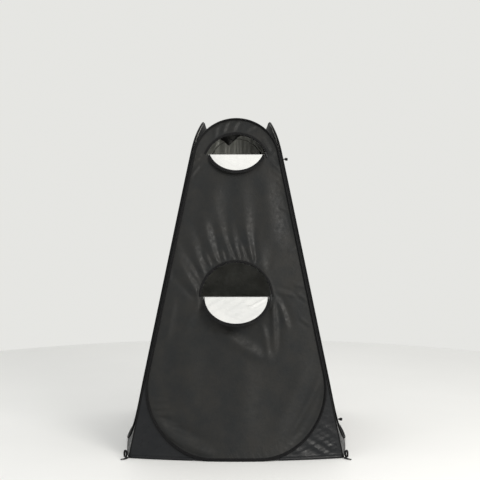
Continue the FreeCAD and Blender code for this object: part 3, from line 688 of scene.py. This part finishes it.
TEETH = metal("zip_teeth", (0.004, 0.004, 0.0045), (0.010, 0.010, 0.011), 0.42, 0.0)
ENAMEL = metal("black_enamel", (0.008, 0.008, 0.009), (0.020, 0.020, 0.022), 0.30, 0.2, coat=0.3)
STEEL = metal("drawn_steel", (0.36, 0.36, 0.37), (0.55, 0.55, 0.56), 0.32, 1.0, scale=900.0, strength=0.2)
NICKEL = metal("nickel", (0.55, 0.54, 0.52), (0.70, 0.69, 0.67), 0.26, 1.0, scale=500.0)

for node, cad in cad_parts.items():
    for ending, material in (("_wire", STEEL), ("_ferrule", STEEL), ("_eyelet", NICKEL), ("_slider", ENAMEL),
                             ("_pull", ENAMEL)):
        if node.endswith(ending):
            cad.data.materials.clear()
            cad.data.materials.append(material)


# ---- Walls and gussets ----
def cut_vents(points, faces, flat):
    """Leaves out what lies inside the vents. Points near a vent's edge move onto it first."""
    state = np.ones(len(points), int)
    for vent in VENTS.values():
        radius = vent.radius + CHAIN_GAP
        px, py = vent.flat(flat[:, 0], flat[:, 1])
        far = np.hypot(px, py + vent.drop)
        to_arc, to_sill = far - radius, -py
        outside = np.maximum(to_arc, to_sill)
        near = np.abs(outside) < 0.75 * CELL
        inside = (outside < 0) & ~near
        corner_x = math.sqrt(radius ** 2 - vent.drop ** 2)
        on_arc = near & ((to_arc >= to_sill) & (py > -0.2 * CELL))
        on_sill = near & ~on_arc
        scale = radius / np.maximum(far, 1e-6)
        x = np.where(on_arc, px * scale, np.where(on_sill, np.clip(px, -corner_x, corner_x), px))
        y = np.where(on_arc, (py + vent.drop) * scale - vent.drop, np.where(on_sill, 0, py))
        y = np.where(near, np.maximum(y, 0), y)
        flat[:, 0] = x
        flat[:, 1] = np.where(near, vent.origin[2] + y * vent.up[2], flat[:, 1])
        state = np.where(inside, -1, np.where(near, 0, state))
    kept = []
    for face in faces:
        s = state[face]
        if (s >= 0).all():
            if (s == 0).sum() < 4:
                kept.append([int(i) for i in face])
        elif (s > 0).any():
            good = [int(i) for i in face if state[i] >= 0]
            if len(good) >= 3:
                kept.append(good)
    return flat, kept


def front_view_grid(rows, wide, columns):
    """A grid of points in the front view: rows of heights, each from its low to its high x."""
    share = np.linspace(0, 1, columns)
    low, high = wide
    x = low[:, None] + (high - low)[:, None] * share[None]
    z = np.repeat(rows[:, None], columns, axis=1)
    return np.stack([x, z], axis=-1).reshape(-1, 2)


def wall(side, inset=0.0, body=None, name=None, replaced=()):
    """The cloth inside a hoop, or inside the door's zip."""
    rows = heights(inset)
    rows = rows[rows > HEM_HEIGHT + 0.0003]
    wide = half_width(rows, inset)
    columns = 141 if inset == 0 else 121
    flat = front_view_grid(rows, (-wide, wide), columns)
    faces = grid_faces(len(rows), columns)
    kept = [list(f) for f in faces]
    if side == "front":
        flat, kept = cut_vents(flat, faces, flat)
    relief = RELIEFS[side](flat[:, 0], flat[:, 1])
    points = turned(on_wall(flat[:, 0], flat[:, 1], FABRIC + relief), side)
    used = sorted({i for f in kept for i in f})
    index = {i: k for k, i in enumerate(used)}
    kept = [[index[i] for i in f] for f in kept]
    piece = make(name or side + "_wall_cloth", points[used], kept, [OUTER, LINING], body or side + "_panel",
                 replaced or [side + "_wall"])
    return thicken(piece, inner=1)


def ring_wall(side, inset):
    """A wall's cloth between its hoop and its door."""
    count = 12
    loops = [outline(inset * k / (count - 1))[0] for k in range(count)]
    flat = np.concatenate(loops)
    n = len(loops[0])
    points = turned(on_wall(flat[:, 0], flat[:, 1], FABRIC + RELIEFS[side](flat[:, 0], flat[:, 1])), side)
    piece = make(side + "_wall_cloth", points, grid_faces(count, n, False, True)[:, ::-1], [OUTER, LINING],
                 side + "_panel", [side + "_wall"])
    return thicken(piece, inner=1)


OPEN_SEAM_ENDS = (("left", "left"), ("back", "right"))


def gusset(side, name, seed):
    """The cloth between a hoop's lower bend and a corner seam, up to the notch, crumpled near the ground."""
    sign = -1 if name == "left" else 1
    rows = np.concatenate([HEM_HEIGHT + (FOOT_CENTRE_Z - HEM_HEIGHT) * np.linspace(0, 1, 60) ** 1.3,
                           np.linspace(FOOT_CENTRE_Z, NOTCH, 150)[1:]])
    inner = half_width(np.maximum(rows, HOOP_FOOT + 1e-6))
    outer = corner(rows) - (OPEN_SEAM if (side, name) in OPEN_SEAM_ENDS else 0.0004)
    columns = 44
    flat = front_view_grid(rows, (inner, outer), columns)
    x, z = flat[:, 0], flat[:, 1]
    wide = np.repeat(outer - inner, columns)
    share = (x - np.repeat(inner, columns)) / wide
    free = np.sin(np.pi * share) * smooth(wide, 0.02, 0.25) * smooth(z, 0.0, 0.05)
    crumple = 0.0035 if (side, name) != ("front", "left") else 0.0016
    slant = x * 0.7 + z * 1.1
    lift = free * (crumple * ripple(slant, seed, 0.12, 7)
                   + 0.7 * crumple * ripple(z - 0.4 * x, seed + 1, 0.09, 6)
                   + 0.004 * ripple(x - z, seed + 2, 0.35, 4))
    lift = lift + 0.0012 * smooth(-np.abs(z - 0.022), -0.006, 0.0)
    points = turned(on_wall(sign * x, z, FABRIC + lift), side)
    faces = grid_faces(len(rows), columns)
    # The gusset takes the darker copy of the outer cloth, which is painted shade.
    piece = make("%s_%s_gusset_cloth" % (side, name), points, faces if sign > 0 else faces[:, ::-1],
                 [SHADED_GUSSET_CLOTH, LINING], side + "_panel", ["%s_%s_gusset" % (side, name)])
    return thicken(piece, inner=1)


# ---- Hoop sleeves, bindings and stitches ----
BAND_WIDTH = 0.0095


def sleeve(side):
    """Piped binding: a round channel for the wire, and the folded edge that is stitched down beside it."""
    flat, normals = outline(0.0)
    x, z = flat[:, 0], flat[:, 1]
    path, normal, across, along = wall_frame(x, z, TUBE_OFFSET, normals, side)
    around = 14
    turn = np.linspace(0, 2 * math.pi, around, endpoint=False)
    wobble = 1 + 0.02 * ripple(np.arange(len(x)) * OUTLINE_STEP, 50, 0.06)[:, None, None]
    round_part = np.stack([np.cos(turn), np.sin(turn)], axis=-1) * SLEEVE_RADIUS
    points = path[:, None] + wobble * (normal[:, None] * round_part[None, :, :1]
                                       + across[:, None] * round_part[None, :, 1:])
    parts = [(points, grid_faces(len(path), around, True, True))]
    relief = RELIEFS[side]
    inner = outline(BAND_WIDTH)[0]
    edge = turned(on_wall(inner[:, 0], inner[:, 1], FABRIC + relief(inner[:, 0], inner[:, 1])), side)
    root = path - normal * (TUBE_OFFSET - FABRIC)
    middle = 0.5 * (edge + root)
    lifts = ((root, 0.0018), (root, 0.0032), (middle, 0.0017), (edge, 0.0009), (edge, -0.0004),
             (root, -0.0004))
    band = np.stack([p + normal * h for p, h in lifts], axis=1)
    parts.append((band, grid_faces(len(path), len(lifts), True, True)))
    points, faces = joined(parts)
    make(side + "_sleeve", points, faces, BINDING, side + "_panel", [side + "_hoop_sleeve"])
    places = spaced(middle, STITCH_PITCH, True)
    line = sample(edge, places) * 0.75 + sample(root, places) * 0.25 + sample(normal, places) * 0.0013
    bead_row(side + "_sleeve_stitches", line, (along, across, normal), places,
             (STITCH_LENGTH, 0.0007, 0.0009), THREAD, side + "_panel")


def seam_binding(name, a, b, side):
    """Binding folded round the corner seam on a side's right."""
    z = np.linspace(HEM_HEIGHT + 0.002, NOTCH - 0.004, 170)
    c = corner(z)
    edge, proud = 0.0052, 0.0002
    lines = ((edge, 0.0012), (0.0038, 0.0024), (0.0012, 0.0030), (-0.0016, 0.0030))
    first = [np.stack([c - s, -c - o, z], axis=-1) for s, o in lines]
    other = [np.stack([c + o, -c + s, z], axis=-1) for s, o in reversed(lines)]
    under = [np.stack([c + proud, -c + edge, z], axis=-1), np.stack([c - edge, -c - proud, z], axis=-1)]
    rings = turned(np.stack(first[:-1] + other[1:] + under, axis=1), side)
    piece = make(name, rings, capped(*rings.shape[:2]), BINDING)
    if a == b:
        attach(piece, a)
    else:
        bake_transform(piece)


def hem(side, name):
    """Turned-up hem along the foot of a gusset, with its row of stitches."""
    sign = -1 if name == "left" else 1
    gap = OPEN_SEAM if (side, name) in OPEN_SEAM_ENDS else 0
    x = np.linspace(float(half_width(0.020)) + 0.004, CORNER_REACH - 0.012 - gap, 60)
    section = ((HEM_HEIGHT, 0.0002), (HEM_HEIGHT, 0.0026), (0.0085, 0.0034), (0.0145, 0.0030),
               (0.0165, 0.0012))
    rings = np.stack([turned(on_wall(sign * x, np.full_like(x, z), FABRIC * 0.2 + out), side)
                      for z, out in section], axis=1)
    # The hem takes the same darker copy of the outer cloth, which is painted shade.
    make("%s_%s_hem" % (side, name), rings, capped(*rings.shape[:2]), SHADED_GUSSET_CLOTH, side + "_panel")
    z = np.full_like(x, 0.0125)
    line = on_wall(sign * x, z, 0.0036)
    places = spaced(line, STITCH_PITCH)
    places = places[places < len(line) - 1]
    along = run_of(line, False)
    normal = unit(np.stack([0 * x, -np.ones_like(x), lean(x, z)], axis=-1))
    across = np.cross(along, normal)
    bead_row("%s_%s_hem_stitches" % (side, name), turned(sample(line, places), side),
             [turned(d, side) for d in (along, across, normal)], places, (STITCH_LENGTH, 0.0007, 0.0008),
             THREAD, side + "_panel")


# ---- Webbing loops and peg tabs ----
CORNERS = {"front_left": (-1, -1), "front_right": (1, -1), "back_right": (1, 1), "back_left": (-1, 1)}
CORNER_BODIES = {"front_left": "front_panel", "front_right": "front_panel", "back_right": "back_panel",
                 "back_left": "back_panel"}
EYELET_REACH, EYELET_HOLE, TAB_HALF, TAB_START = 0.039, 0.0064, 0.010, 0.004
TAB_BEND = EYELET_REACH - 0.010
TAB_LIFT = 0.0048
LOOP_OUT, LOOP_HEIGHT = 0.0210, 0.0295


def outwards(points, name):
    """Points with x away from a corner of the base, y along it and z up, placed at the named corner."""
    sx, sy = CORNERS[name]
    away = np.array([sx, sy, 0]) / math.sqrt(2)
    level = np.array([-sy, sx, 0]) / math.sqrt(2)
    foot = np.array([sx * CORNER_REACH, sy * CORNER_REACH, 0])
    return (foot + points[..., :1] * away + points[..., 1:2] * level
            + points[..., 2:] * np.array([0, 0, 1.0]))


def corner_loop(name, seed):
    """Loop of doubled webbing beside a corner's foot, and the tail that is caught in the seam."""
    turn = np.linspace(0, 2 * math.pi, 72, endpoint=False)
    half = np.array([0.0074, 0.0174])
    c, s = np.cos(turn), np.sin(turn)
    x = LOOP_OUT + half[0] * np.sign(c) * np.abs(c) ** 0.75 + 0.0008 * ripple(turn * 0.01, seed, 0.03)
    path = np.stack([x, 0 * turn, LOOP_HEIGHT + half[1] * np.sign(s) * np.abs(s) ** 0.75], axis=-1)
    away = path - np.array([LOOP_OUT, 0, LOOP_HEIGHT])
    run = run_of(path, True)
    across = np.repeat(np.array([[0.0, 1.0, 0.0]]), len(path), axis=0)
    normal = unit(np.cross(across, run))
    normal = normal * np.sign((normal * away).sum(-1, keepdims=True))
    profile = [(0.0034, -0.0040), (0.0034, 0.0040), (0.0024, 0.0049), (-0.0024, 0.0049), (-0.0034, 0.0040),
               (-0.0034, -0.0040), (-0.0024, -0.0049), (0.0024, -0.0049)]
    parts = [tube(path, normal, across, profile)]
    x = np.linspace(0.0046, 0.0125, 8)
    tail = np.stack([x, 0 * x, LOOP_HEIGHT + 0 * x], axis=-1)
    level = np.repeat(np.array([[0.0, 1.0, 0.0]]), len(x), axis=0)
    rise = np.repeat(np.array([[0.0, 0.0, 1.0]]), len(x), axis=0)
    profile = [(0.0100, -0.0006), (0.0104, 0.0), (0.0100, 0.0006), (-0.0100, 0.0006), (-0.0104, 0.0),
               (-0.0100, -0.0006)]
    parts.append(tube(tail, rise, level, profile, False))
    points, faces = joined(parts)
    make(name + "_loop_webbing", outwards(points, name), faces, WEBBING, CORNER_BODIES[name],
         [name + "_corner_loop"])
    y = np.arange(-0.0036, 0.0037, 0.0012)
    centres = np.stack([0.0103 + 0 * y, y, LOOP_HEIGHT + 0 * y], axis=-1)
    ones = np.ones((len(centres), 1))
    points, faces = beads(centres, ones * [0, 0, 1.0], ones * [0, 1.0, 0], ones * [1.0, 0, 0],
                          (0.012, 0.0008, 0.0009))
    make(name + "_loop_tack", outwards(points, name), faces, THREAD, CORNER_BODIES[name])


def tab_rise(x):
    """How far a tab has risen off the ground that far out from its corner."""
    return TAB_LIFT * np.clip((TAB_BEND - x) / (TAB_BEND - TAB_START), 0, 1) ** 2


def peg_tab(name, seed):
    """Webbing tab round the peg eyelet, lifted a little where it leaves the hem."""
    turn = np.linspace(0, 2 * math.pi, 96, endpoint=False)
    c, s = np.cos(turn), np.sin(turn)
    back = EYELET_REACH - TAB_START
    reach = np.where(c > 0, TAB_HALF + 0.004 * c ** 2, np.minimum(TAB_HALF / np.maximum(np.abs(s), 1e-6),
                                                                 back / np.maximum(-c, 1e-6)))
    share = np.linspace(0, 1, 14)[:, None]
    radius = EYELET_HOLE + (reach[None] - EYELET_HOLE) * share
    x, y = EYELET_REACH + radius * c, radius * s
    z = 0.0019 + tab_rise(x) + 0.0003 * ripple(x + y, seed, 0.02) * smooth(share, 0.3, 1.0)
    points = outwards(np.stack([x, y, z], axis=-1), name)
    piece = make(name + "_tab_webbing", points, grid_faces(*x.shape, False, True), WEBBING,
                 CORNER_BODIES[name], [name + "_peg_tab"])
    thicken(piece, 0.0012)
    for side in (-1, 1):
        places = np.arange(TAB_START + 0.001, EYELET_REACH - 0.004, 0.0030)
        y = 0 * places + side * (TAB_HALF - 0.002)
        centres = np.stack([places, y, 0.0022 + tab_rise(places)], axis=-1)
        ones = np.ones((len(places), 1))
        points, faces = beads(centres, ones * [1.0, 0, 0], ones * [0, 1.0, 0], ones * [0, 0, 1.0],
                              (0.0021, 0.0005, 0.0006))
        make("%s_tab_stitches_%s" % (name, "ab"[side > 0]), outwards(points, name), faces, THREAD,
             CORNER_BODIES[name])


def guy_loop(side, level, seed):
    """Short webbing loop, knotted on itself, on the outer face of a side wall's hoop."""
    low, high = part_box("%s_%s_guy_loop" % (side, level))
    middle = (np.array(low) + np.array(high)) / 2
    sign = 1 if side == "right" else -1
    long, tall, wide = high[0] - low[0], high[2] - low[2], high[1] - low[1]
    sunk = 0.003
    root = (low[0] if sign > 0 else high[0]) - sign * sunk
    long = long + sunk
    t = np.linspace(0, 1, 40)
    swell = 0.42 + 0.62 * smooth(t, 0.20, 0.42) * (1 - 0.85 * smooth(t, 0.80, 1.0) ** 2)
    wraps = 1 + 0.07 * np.cos(2 * math.pi * t * 4.5)
    turn = np.linspace(0, 2 * math.pi, 28, endpoint=False)
    twist = turn[None] + 1.2 * t[:, None]
    bumps = 1 + 0.06 * np.cos(3 * twist) + 0.04 * ripple(twist * 0.01, seed, 0.03)
    radius = (swell * wraps)[:, None] * bumps
    points = np.stack([root + sign * long * (0.01 + 0.97 * t)[:, None] + 0 * turn[None],
                       middle[1] + 0.47 * wide * radius * np.sin(turn)[None],
                       middle[2] + 0.46 * tall * radius * np.cos(turn)[None]], axis=-1)
    make("%s_%s_guy_webbing" % (side, level), points, capped(*radius.shape), WEBBING, side + "_panel",
         ["%s_%s_guy_loop" % (side, level)])


# ---- Zips ----
def zip_band(name, rims, normal, body, replaced, stitch_share=0.72):
    """Zip tape between two lines, with teeth along the first of them and a row of stitches near the other."""
    toothed, sewn = rims
    across = unit(sewn - toothed)
    along = run_of(toothed, False)
    directions = (along, across, normal)
    width = np.linalg.norm(sewn - toothed, axis=-1, keepdims=True)
    edge = -(CHAIN_GAP - 0.0001) / TAPE_WIDTH
    profile = ((edge, 0.0), (edge, 0.0008), (0.35, 0.0012), (0.93, 0.0012), (1.0, 0.0007), (1.0, -0.0001))
    rings = np.stack([toothed + across * width * share + normal * lift for share, lift in profile], axis=1)
    make(name, rings, capped(*rings.shape[:2]), TAPE, body, replaced)
    places = spaced(toothed, TOOTH_PITCH)
    places = places[places < len(toothed) - 2]
    centres = sample(toothed, places) - sample(across, places) * 0.0009 + sample(normal, places) * 0.0009
    bead_row(name + "_teeth", centres, directions, places, (0.0013, 0.0028, 0.0022), TEETH, body)
    places = spaced(toothed, ZIP_STITCH_PITCH)
    places = places[places < len(toothed) - 1]
    centres = (sample(toothed, places) + sample(sewn - toothed, places) * stitch_share
               + sample(normal, places) * 0.0014)
    bead_row(name + "_stitches", centres, directions, places, (0.0031, 0.0006, 0.0007), THREAD, body)


TAPE_END = 0.012


def vent_pieces(vent):
    """A vent's zip tapes, its hanging flap and the binding of its sill."""
    start, end = vent.start, math.pi - vent.start
    turn = np.linspace(start + TAPE_END, end - TAPE_END, 150)
    rims = []
    for radius in (vent.radius + CHAIN_GAP, vent.radius + CHAIN_GAP + TAPE_WIDTH):
        x = radius * np.cos(turn)
        y = radius * np.sin(turn) - vent.drop
        z = vent.origin[2] + y * vent.up[2]
        rims.append(on_wall(x, z, FABRIC + 0.0003 + np.minimum(front_relief(x, z), 0.001)))
    normal = np.repeat(vent.out[None], len(turn), axis=0)
    zip_band(vent.name + "_frame_zip", rims, normal, "front_panel", [vent.name + "_frame_tape"])

    # Flap: silver side to the front as it hangs, black behind.
    inner = vent.radius - CHAIN_GAP - TAPE_WIDTH
    radius = inner + 0.003
    columns, rows = 90, 60
    share = np.linspace(0, 1, rows)
    along = (radius - vent.drop) * np.sin(share * math.pi / 2)
    wide = np.sqrt(np.maximum(1e-8, radius ** 2 - (along + vent.drop) ** 2))
    x = wide[:, None] * np.linspace(-1, 1, columns)[None]
    s = np.repeat(along[:, None], columns, axis=1)
    clear = smooth(inner - np.hypot(x, s + vent.drop), 0.0, 0.022) * smooth(s, 0.002, 0.02)
    seed = 70 if vent.name == "middle" else 80
    off = clear * (0.0016 * ripple(x * 0.8 + s, seed, 0.16, 5)
                   + 0.0012 * ripple(s - 0.5 * x, seed + 1, 0.11, 5))
    for (x0, s0), (x1, s1), w, h in FLAP_CREASES[vent.name]:
        off = off + clear * fold(x, s, (x0, s0), (x1, s1), w, h)
    off = np.clip(off, -0.0013, 0.006)
    points = vent.hang(x, s, off + 0.0005)
    flap = make(vent.name + "_flap_cloth", points, grid_faces(rows, columns)[:, ::-1], [SILVER, OUTER],
                vent.name + "_flap", [vent.name + "_flap"])
    thicken(flap, inner=1)
    turn = np.linspace(start + TAPE_END, end - TAPE_END, 140)
    rims = []
    for radius in (vent.radius - CHAIN_GAP, inner - 0.005):
        px = np.clip(radius * np.cos(turn), -vent.flap_half, vent.flap_half)
        ps = np.maximum(radius * np.sin(turn) - vent.drop, 0.001)
        rims.append(vent.hang(px, ps, np.full_like(px, 0.0012)))
    c, s = math.cos(vent.stand), math.sin(vent.stand)
    front = vent.out * c + vent.up * s
    zip_band(vent.name + "_flap_zip", rims, np.repeat(front[None], len(turn), axis=0), vent.name + "_flap",
             [vent.name + "_flap_tape"], stitch_share=0.8)

    # Binding along the sill, where the flap is sewn to the wall.
    half = vent.flap_half + 0.004
    x = np.linspace(-half, half, 60)
    turn = np.linspace(0, 2 * math.pi, 12, endpoint=False)
    wave = 0.00025 * ripple(x, seed + 5, 0.05)
    rings = np.stack([vent.place(x, -0.0006 + 0.0021 * math.sin(a) + wave, 0.0014 + 0.0019 * math.cos(a))
                      for a in turn], axis=1)
    make(vent.name + "_sill_binding", rings, capped(*rings.shape[:2]), BINDING, "front_panel")


# Creases of the hanging flaps: start, end (x, and down from the sill), width, height.
FLAP_CREASES = {
    "middle": [
        ((0.170, 0.012), (0.075, 0.075), 0.010, 0.0042),
        ((0.185, 0.035), (0.100, 0.085), 0.008, 0.0030),
        ((0.120, 0.090), (0.060, 0.060), 0.008, 0.0030),
        ((-0.080, 0.085), (0.060, 0.155), 0.013, 0.0050),
        ((-0.060, 0.120), (0.040, 0.160), 0.009, 0.0032),
        ((0.020, 0.085), (0.100, 0.060), 0.012, 0.0028),
    ],
    "upper": [
        ((-0.140, 0.014), (-0.060, 0.075), 0.012, 0.0022),
        ((0.130, 0.020), (0.040, 0.080), 0.014, 0.0020),
    ],
}


def door_pieces():
    """The door's cloth, its zip tapes along three sides, and the strip that hinges it."""
    wall("back", DOOR_INSET + CHAIN_GAP, "door", "door_cloth", replaced=["door_panel"])
    flat = outline(0.0)[0]
    # The hinge side is straight and towards -x in the back wall's own front view.
    straight = (flat[:, 0] < 0) & (flat[:, 1] > FOOT_CENTRE_Z + 0.02) & (flat[:, 1] < NOTCH - 0.02)
    n = len(flat)
    first = (np.where(straight)[0].max() + 1) % n
    order = (first + np.arange(n - straight.sum())) % n
    relief = RELIEFS["back"]
    for name, away, body in (("door_frame_zip", -1, "back_panel"), ("door_flap_zip", 1, "door")):
        rims = []
        for inset in (DOOR_INSET + away * CHAIN_GAP, DOOR_INSET + away * (CHAIN_GAP + TAPE_WIDTH)):
            line, line_normals = outline(inset)
            line, line_normals = line[order], line_normals[order]
            x, z = line[:, 0], line[:, 1]
            path, normal = wall_frame(x, z, FABRIC + 0.0003, line_normals, "back", False, relief)[:2]
            rims.append(path)
        tape = "door_frame_tape" if body == "back_panel" else "door_flap_tape"
        zip_band(name, rims, normal, body, [tape])
    # Hinge strip: flat webbing over the gap between the door and the wall.
    z = np.linspace(FOOT_CENTRE_Z + 0.03, NOTCH - 0.03, 120)
    rings = []
    for shift, out in ((-0.011, 0.0012), (-0.010, 0.0022), (0.0, 0.0026), (0.010, 0.0022), (0.011, 0.0012),
                       (0.0, 0.0009)):
        x = -(corner(z) - HOOP_INSET - DOOR_INSET / math.cos(LEAN_ANGLE)) + shift
        rings.append(turned(on_wall(x, z, out + 0.0006 + relief(x, z)), "back"))
    rings = np.stack(rings, axis=1)
    strip = make("door_hinge_strip", rings, capped(*rings.shape[:2]), BINDING)
    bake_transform(strip)


# ---- Canopy ----
CANOPY_LOW, FUNNEL_DEPTH, FUNNEL_REACH = -0.050, 0.118, 0.080


def canopy():
    """Thin black cloth that sags between the arches, lowest a little off its middle. It is cut along its
    diagonals, because no one piece can follow four walls that fold."""
    half = corner(NOTCH) - 0.004
    share = np.linspace(-1, 1, 121)
    u, v = np.meshgrid(share, share)

    def rise(t):
        return ARCH_RADIUS * (np.cos(t * ARCH_END) - math.cos(ARCH_END))

    def across(s, t):
        edge = depth(half * np.sin(t * ARCH_END), NOTCH + rise(t)) - 0.0012
        return half * np.sin(s * ARCH_END) / math.sin(ARCH_END) * (1 - np.abs(s)) + s * np.abs(s) * edge

    near_u, near_v = 1 / (1.0001 - u ** 2), 1 / (1.0001 - v ** 2)
    z = NOTCH - 0.0015 + (rise(u) * near_v + rise(v) * near_u) / (near_u + near_v)
    x, y = across(u, v), across(v, u)
    from_low = np.hypot(np.hypot(x - CANOPY_LOW, y), 0.006)
    z = z - (1 - u ** 2) * (1 - v ** 2) * (0.030 + FUNNEL_DEPTH * np.exp(-from_low / FUNNEL_REACH))
    inner = (1 - u ** 6) * (1 - v ** 6)
    z = z + inner * 0.0022 * (ripple(np.arctan2(v, u + 0.2) * 0.1, 90, 0.11, 6) * np.hypot(u, v)
                              + ripple(u * 0.25 + v * 0.12, 91, 0.16, 5))
    points = np.stack([x, y, z], axis=-1)
    index = np.arange(points.shape[0] * points.shape[1]).reshape(points.shape[:2])
    flat = points.reshape(-1, 3)
    quarters = {"canopy_front": [], "canopy_left": [], "canopy_back": []}
    for i in range(len(share) - 1):
        for j in range(len(share) - 1):
            a, b, c, d = index[i, j], index[i, j + 1], index[i + 1, j + 1], index[i + 1, j]
            for tri in ((a, b, d), (b, c, d)) if i + j == len(share) - 2 else ((a, b, c), (a, c, d)):
                mid = flat[list(tri)].mean(axis=0)
                if mid[0] > mid[1]:
                    quarters["canopy_front"].append(tri)
                elif mid[0] < -mid[1]:
                    quarters["canopy_left"].append(tri)
                else:
                    quarters["canopy_back"].append(tri)
    for name, faces in quarters.items():
        used = sorted({k for f in faces for k in f})
        place = {k: n for n, k in enumerate(used)}
        faces = [[place[k] for k in f] for f in faces]
        piece = make(name, flat[used], faces, CANOPY, None, ["canopy"])
        thicken(piece)
        if name == "canopy_front":
            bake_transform(piece)
        elif name == "canopy_left":
            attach(piece, "left_panel")
            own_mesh(piece)
        else:
            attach(piece, "back_panel")
            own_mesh(piece)


for number, side in enumerate(SIDES):
    if side == "back":
        ring_wall(side, DOOR_INSET - CHAIN_GAP)
    else:
        wall(side)
    gusset(side, "left", 100 + 10 * number)
    gusset(side, "right", 105 + 10 * number)
    sleeve(side)
    for end in ("left", "right"):
        hem(side, end)
for vent in VENTS.values():
    vent_pieces(vent)
door_pieces()
canopy()
for number, name in enumerate(CORNERS):
    corner_loop(name, 200 + number)
    peg_tab(name, 210 + number)
for side in ("left", "right"):
    for level in ("upper", "lower"):
        guy_loop(side, level, 220)
seam_binding("front_right_seam", "front_panel", "right_panel", "front")
seam_binding("back_right_seam", "right_panel", "back_panel", "right")
seam_binding("back_left_seam", "back_panel", "back_panel", "back")
seam_binding("front_left_seam", "left_panel", "front_panel", "left")


# ---- Floor, light and camera ----
def floor():
    """Pale floor, a wide disc."""
    count = 96
    turn = np.linspace(0, 2 * math.pi, count, endpoint=False)
    points = [np.stack([r * np.cos(turn), r * np.sin(turn), 0 * turn], axis=-1) for r in (0.5, 2.0, 4.0)]
    faces = [list(f) for f in grid_faces(3, count, False, True)] + [list(range(count))[::-1]]
    material, add, link, shader = node_material("floor")
    place = add("ShaderNodeTexCoord")
    noise = add("ShaderNodeTexNoise", Scale=1.4, Detail=3.0)
    link(place, noise, "Vector", 3)
    link(blend_colours(add, link, noise, (0.80, 0.80, 0.795), (0.84, 0.84, 0.835)), shader, "Base Color")
    shader.inputs["Roughness"].default_value = 0.55
    piece = make("floor", np.concatenate(points), faces, material)


def area_light(name, place, target, size, power, colour):
    data = bpy.data.lights.new(name, "AREA")
    data.shape = "RECTANGLE"
    data.size, data.size_y = size
    data.energy = power
    data.color = colour
    lamp = bpy.data.objects.new(name, data)
    bpy.context.scene.collection.objects.link(lamp)
    lamp.location = place
    lamp.rotation_euler = (Vector(target) - Vector(place)).to_track_quat("-Z", "Y").to_euler()
    return lamp


floor()
world = bpy.data.worlds.new("studio")
bpy.context.scene.world = world
world.use_nodes = True
world.node_tree.nodes["Background"].inputs["Color"].default_value = (0.79, 0.79, 0.765, 1)
world.node_tree.nodes["Background"].inputs["Strength"].default_value = 1.0
area_light("key", (2.5, -3.6, 2.9), (0.2, -0.3, 1.2), (1.8, 1.8), 120, (1.0, 0.97, 0.92))
area_light("fill", (-3.2, -2.6, 2.2), (0, 0, 0.8), (2.5, 2.5), 14, (0.93, 0.96, 1.0))
area_light("top", (0, 0.4, 4.2), (0, 0, 1.5), (3.0, 3.0), 30, (1.0, 1.0, 1.0))
area_light("inside", (0.03, 0.0, 1.69), (-0.2, 0.06, 1.76), (0.06, 0.05), 0.11, (1.0, 0.99, 0.90))

lens = bpy.data.cameras.new("camera")
lens.lens = 60
lens.sensor_width = 36
camera = bpy.data.objects.new("camera", lens)
bpy.context.scene.collection.objects.link(camera)
camera.location = (0.022, -5.0, 1.29)
camera.rotation_euler = (math.radians(90 - 1.07), 0, 0)
bpy.context.scene.camera = camera
bpy.context.scene.view_settings.view_transform = "Standard"
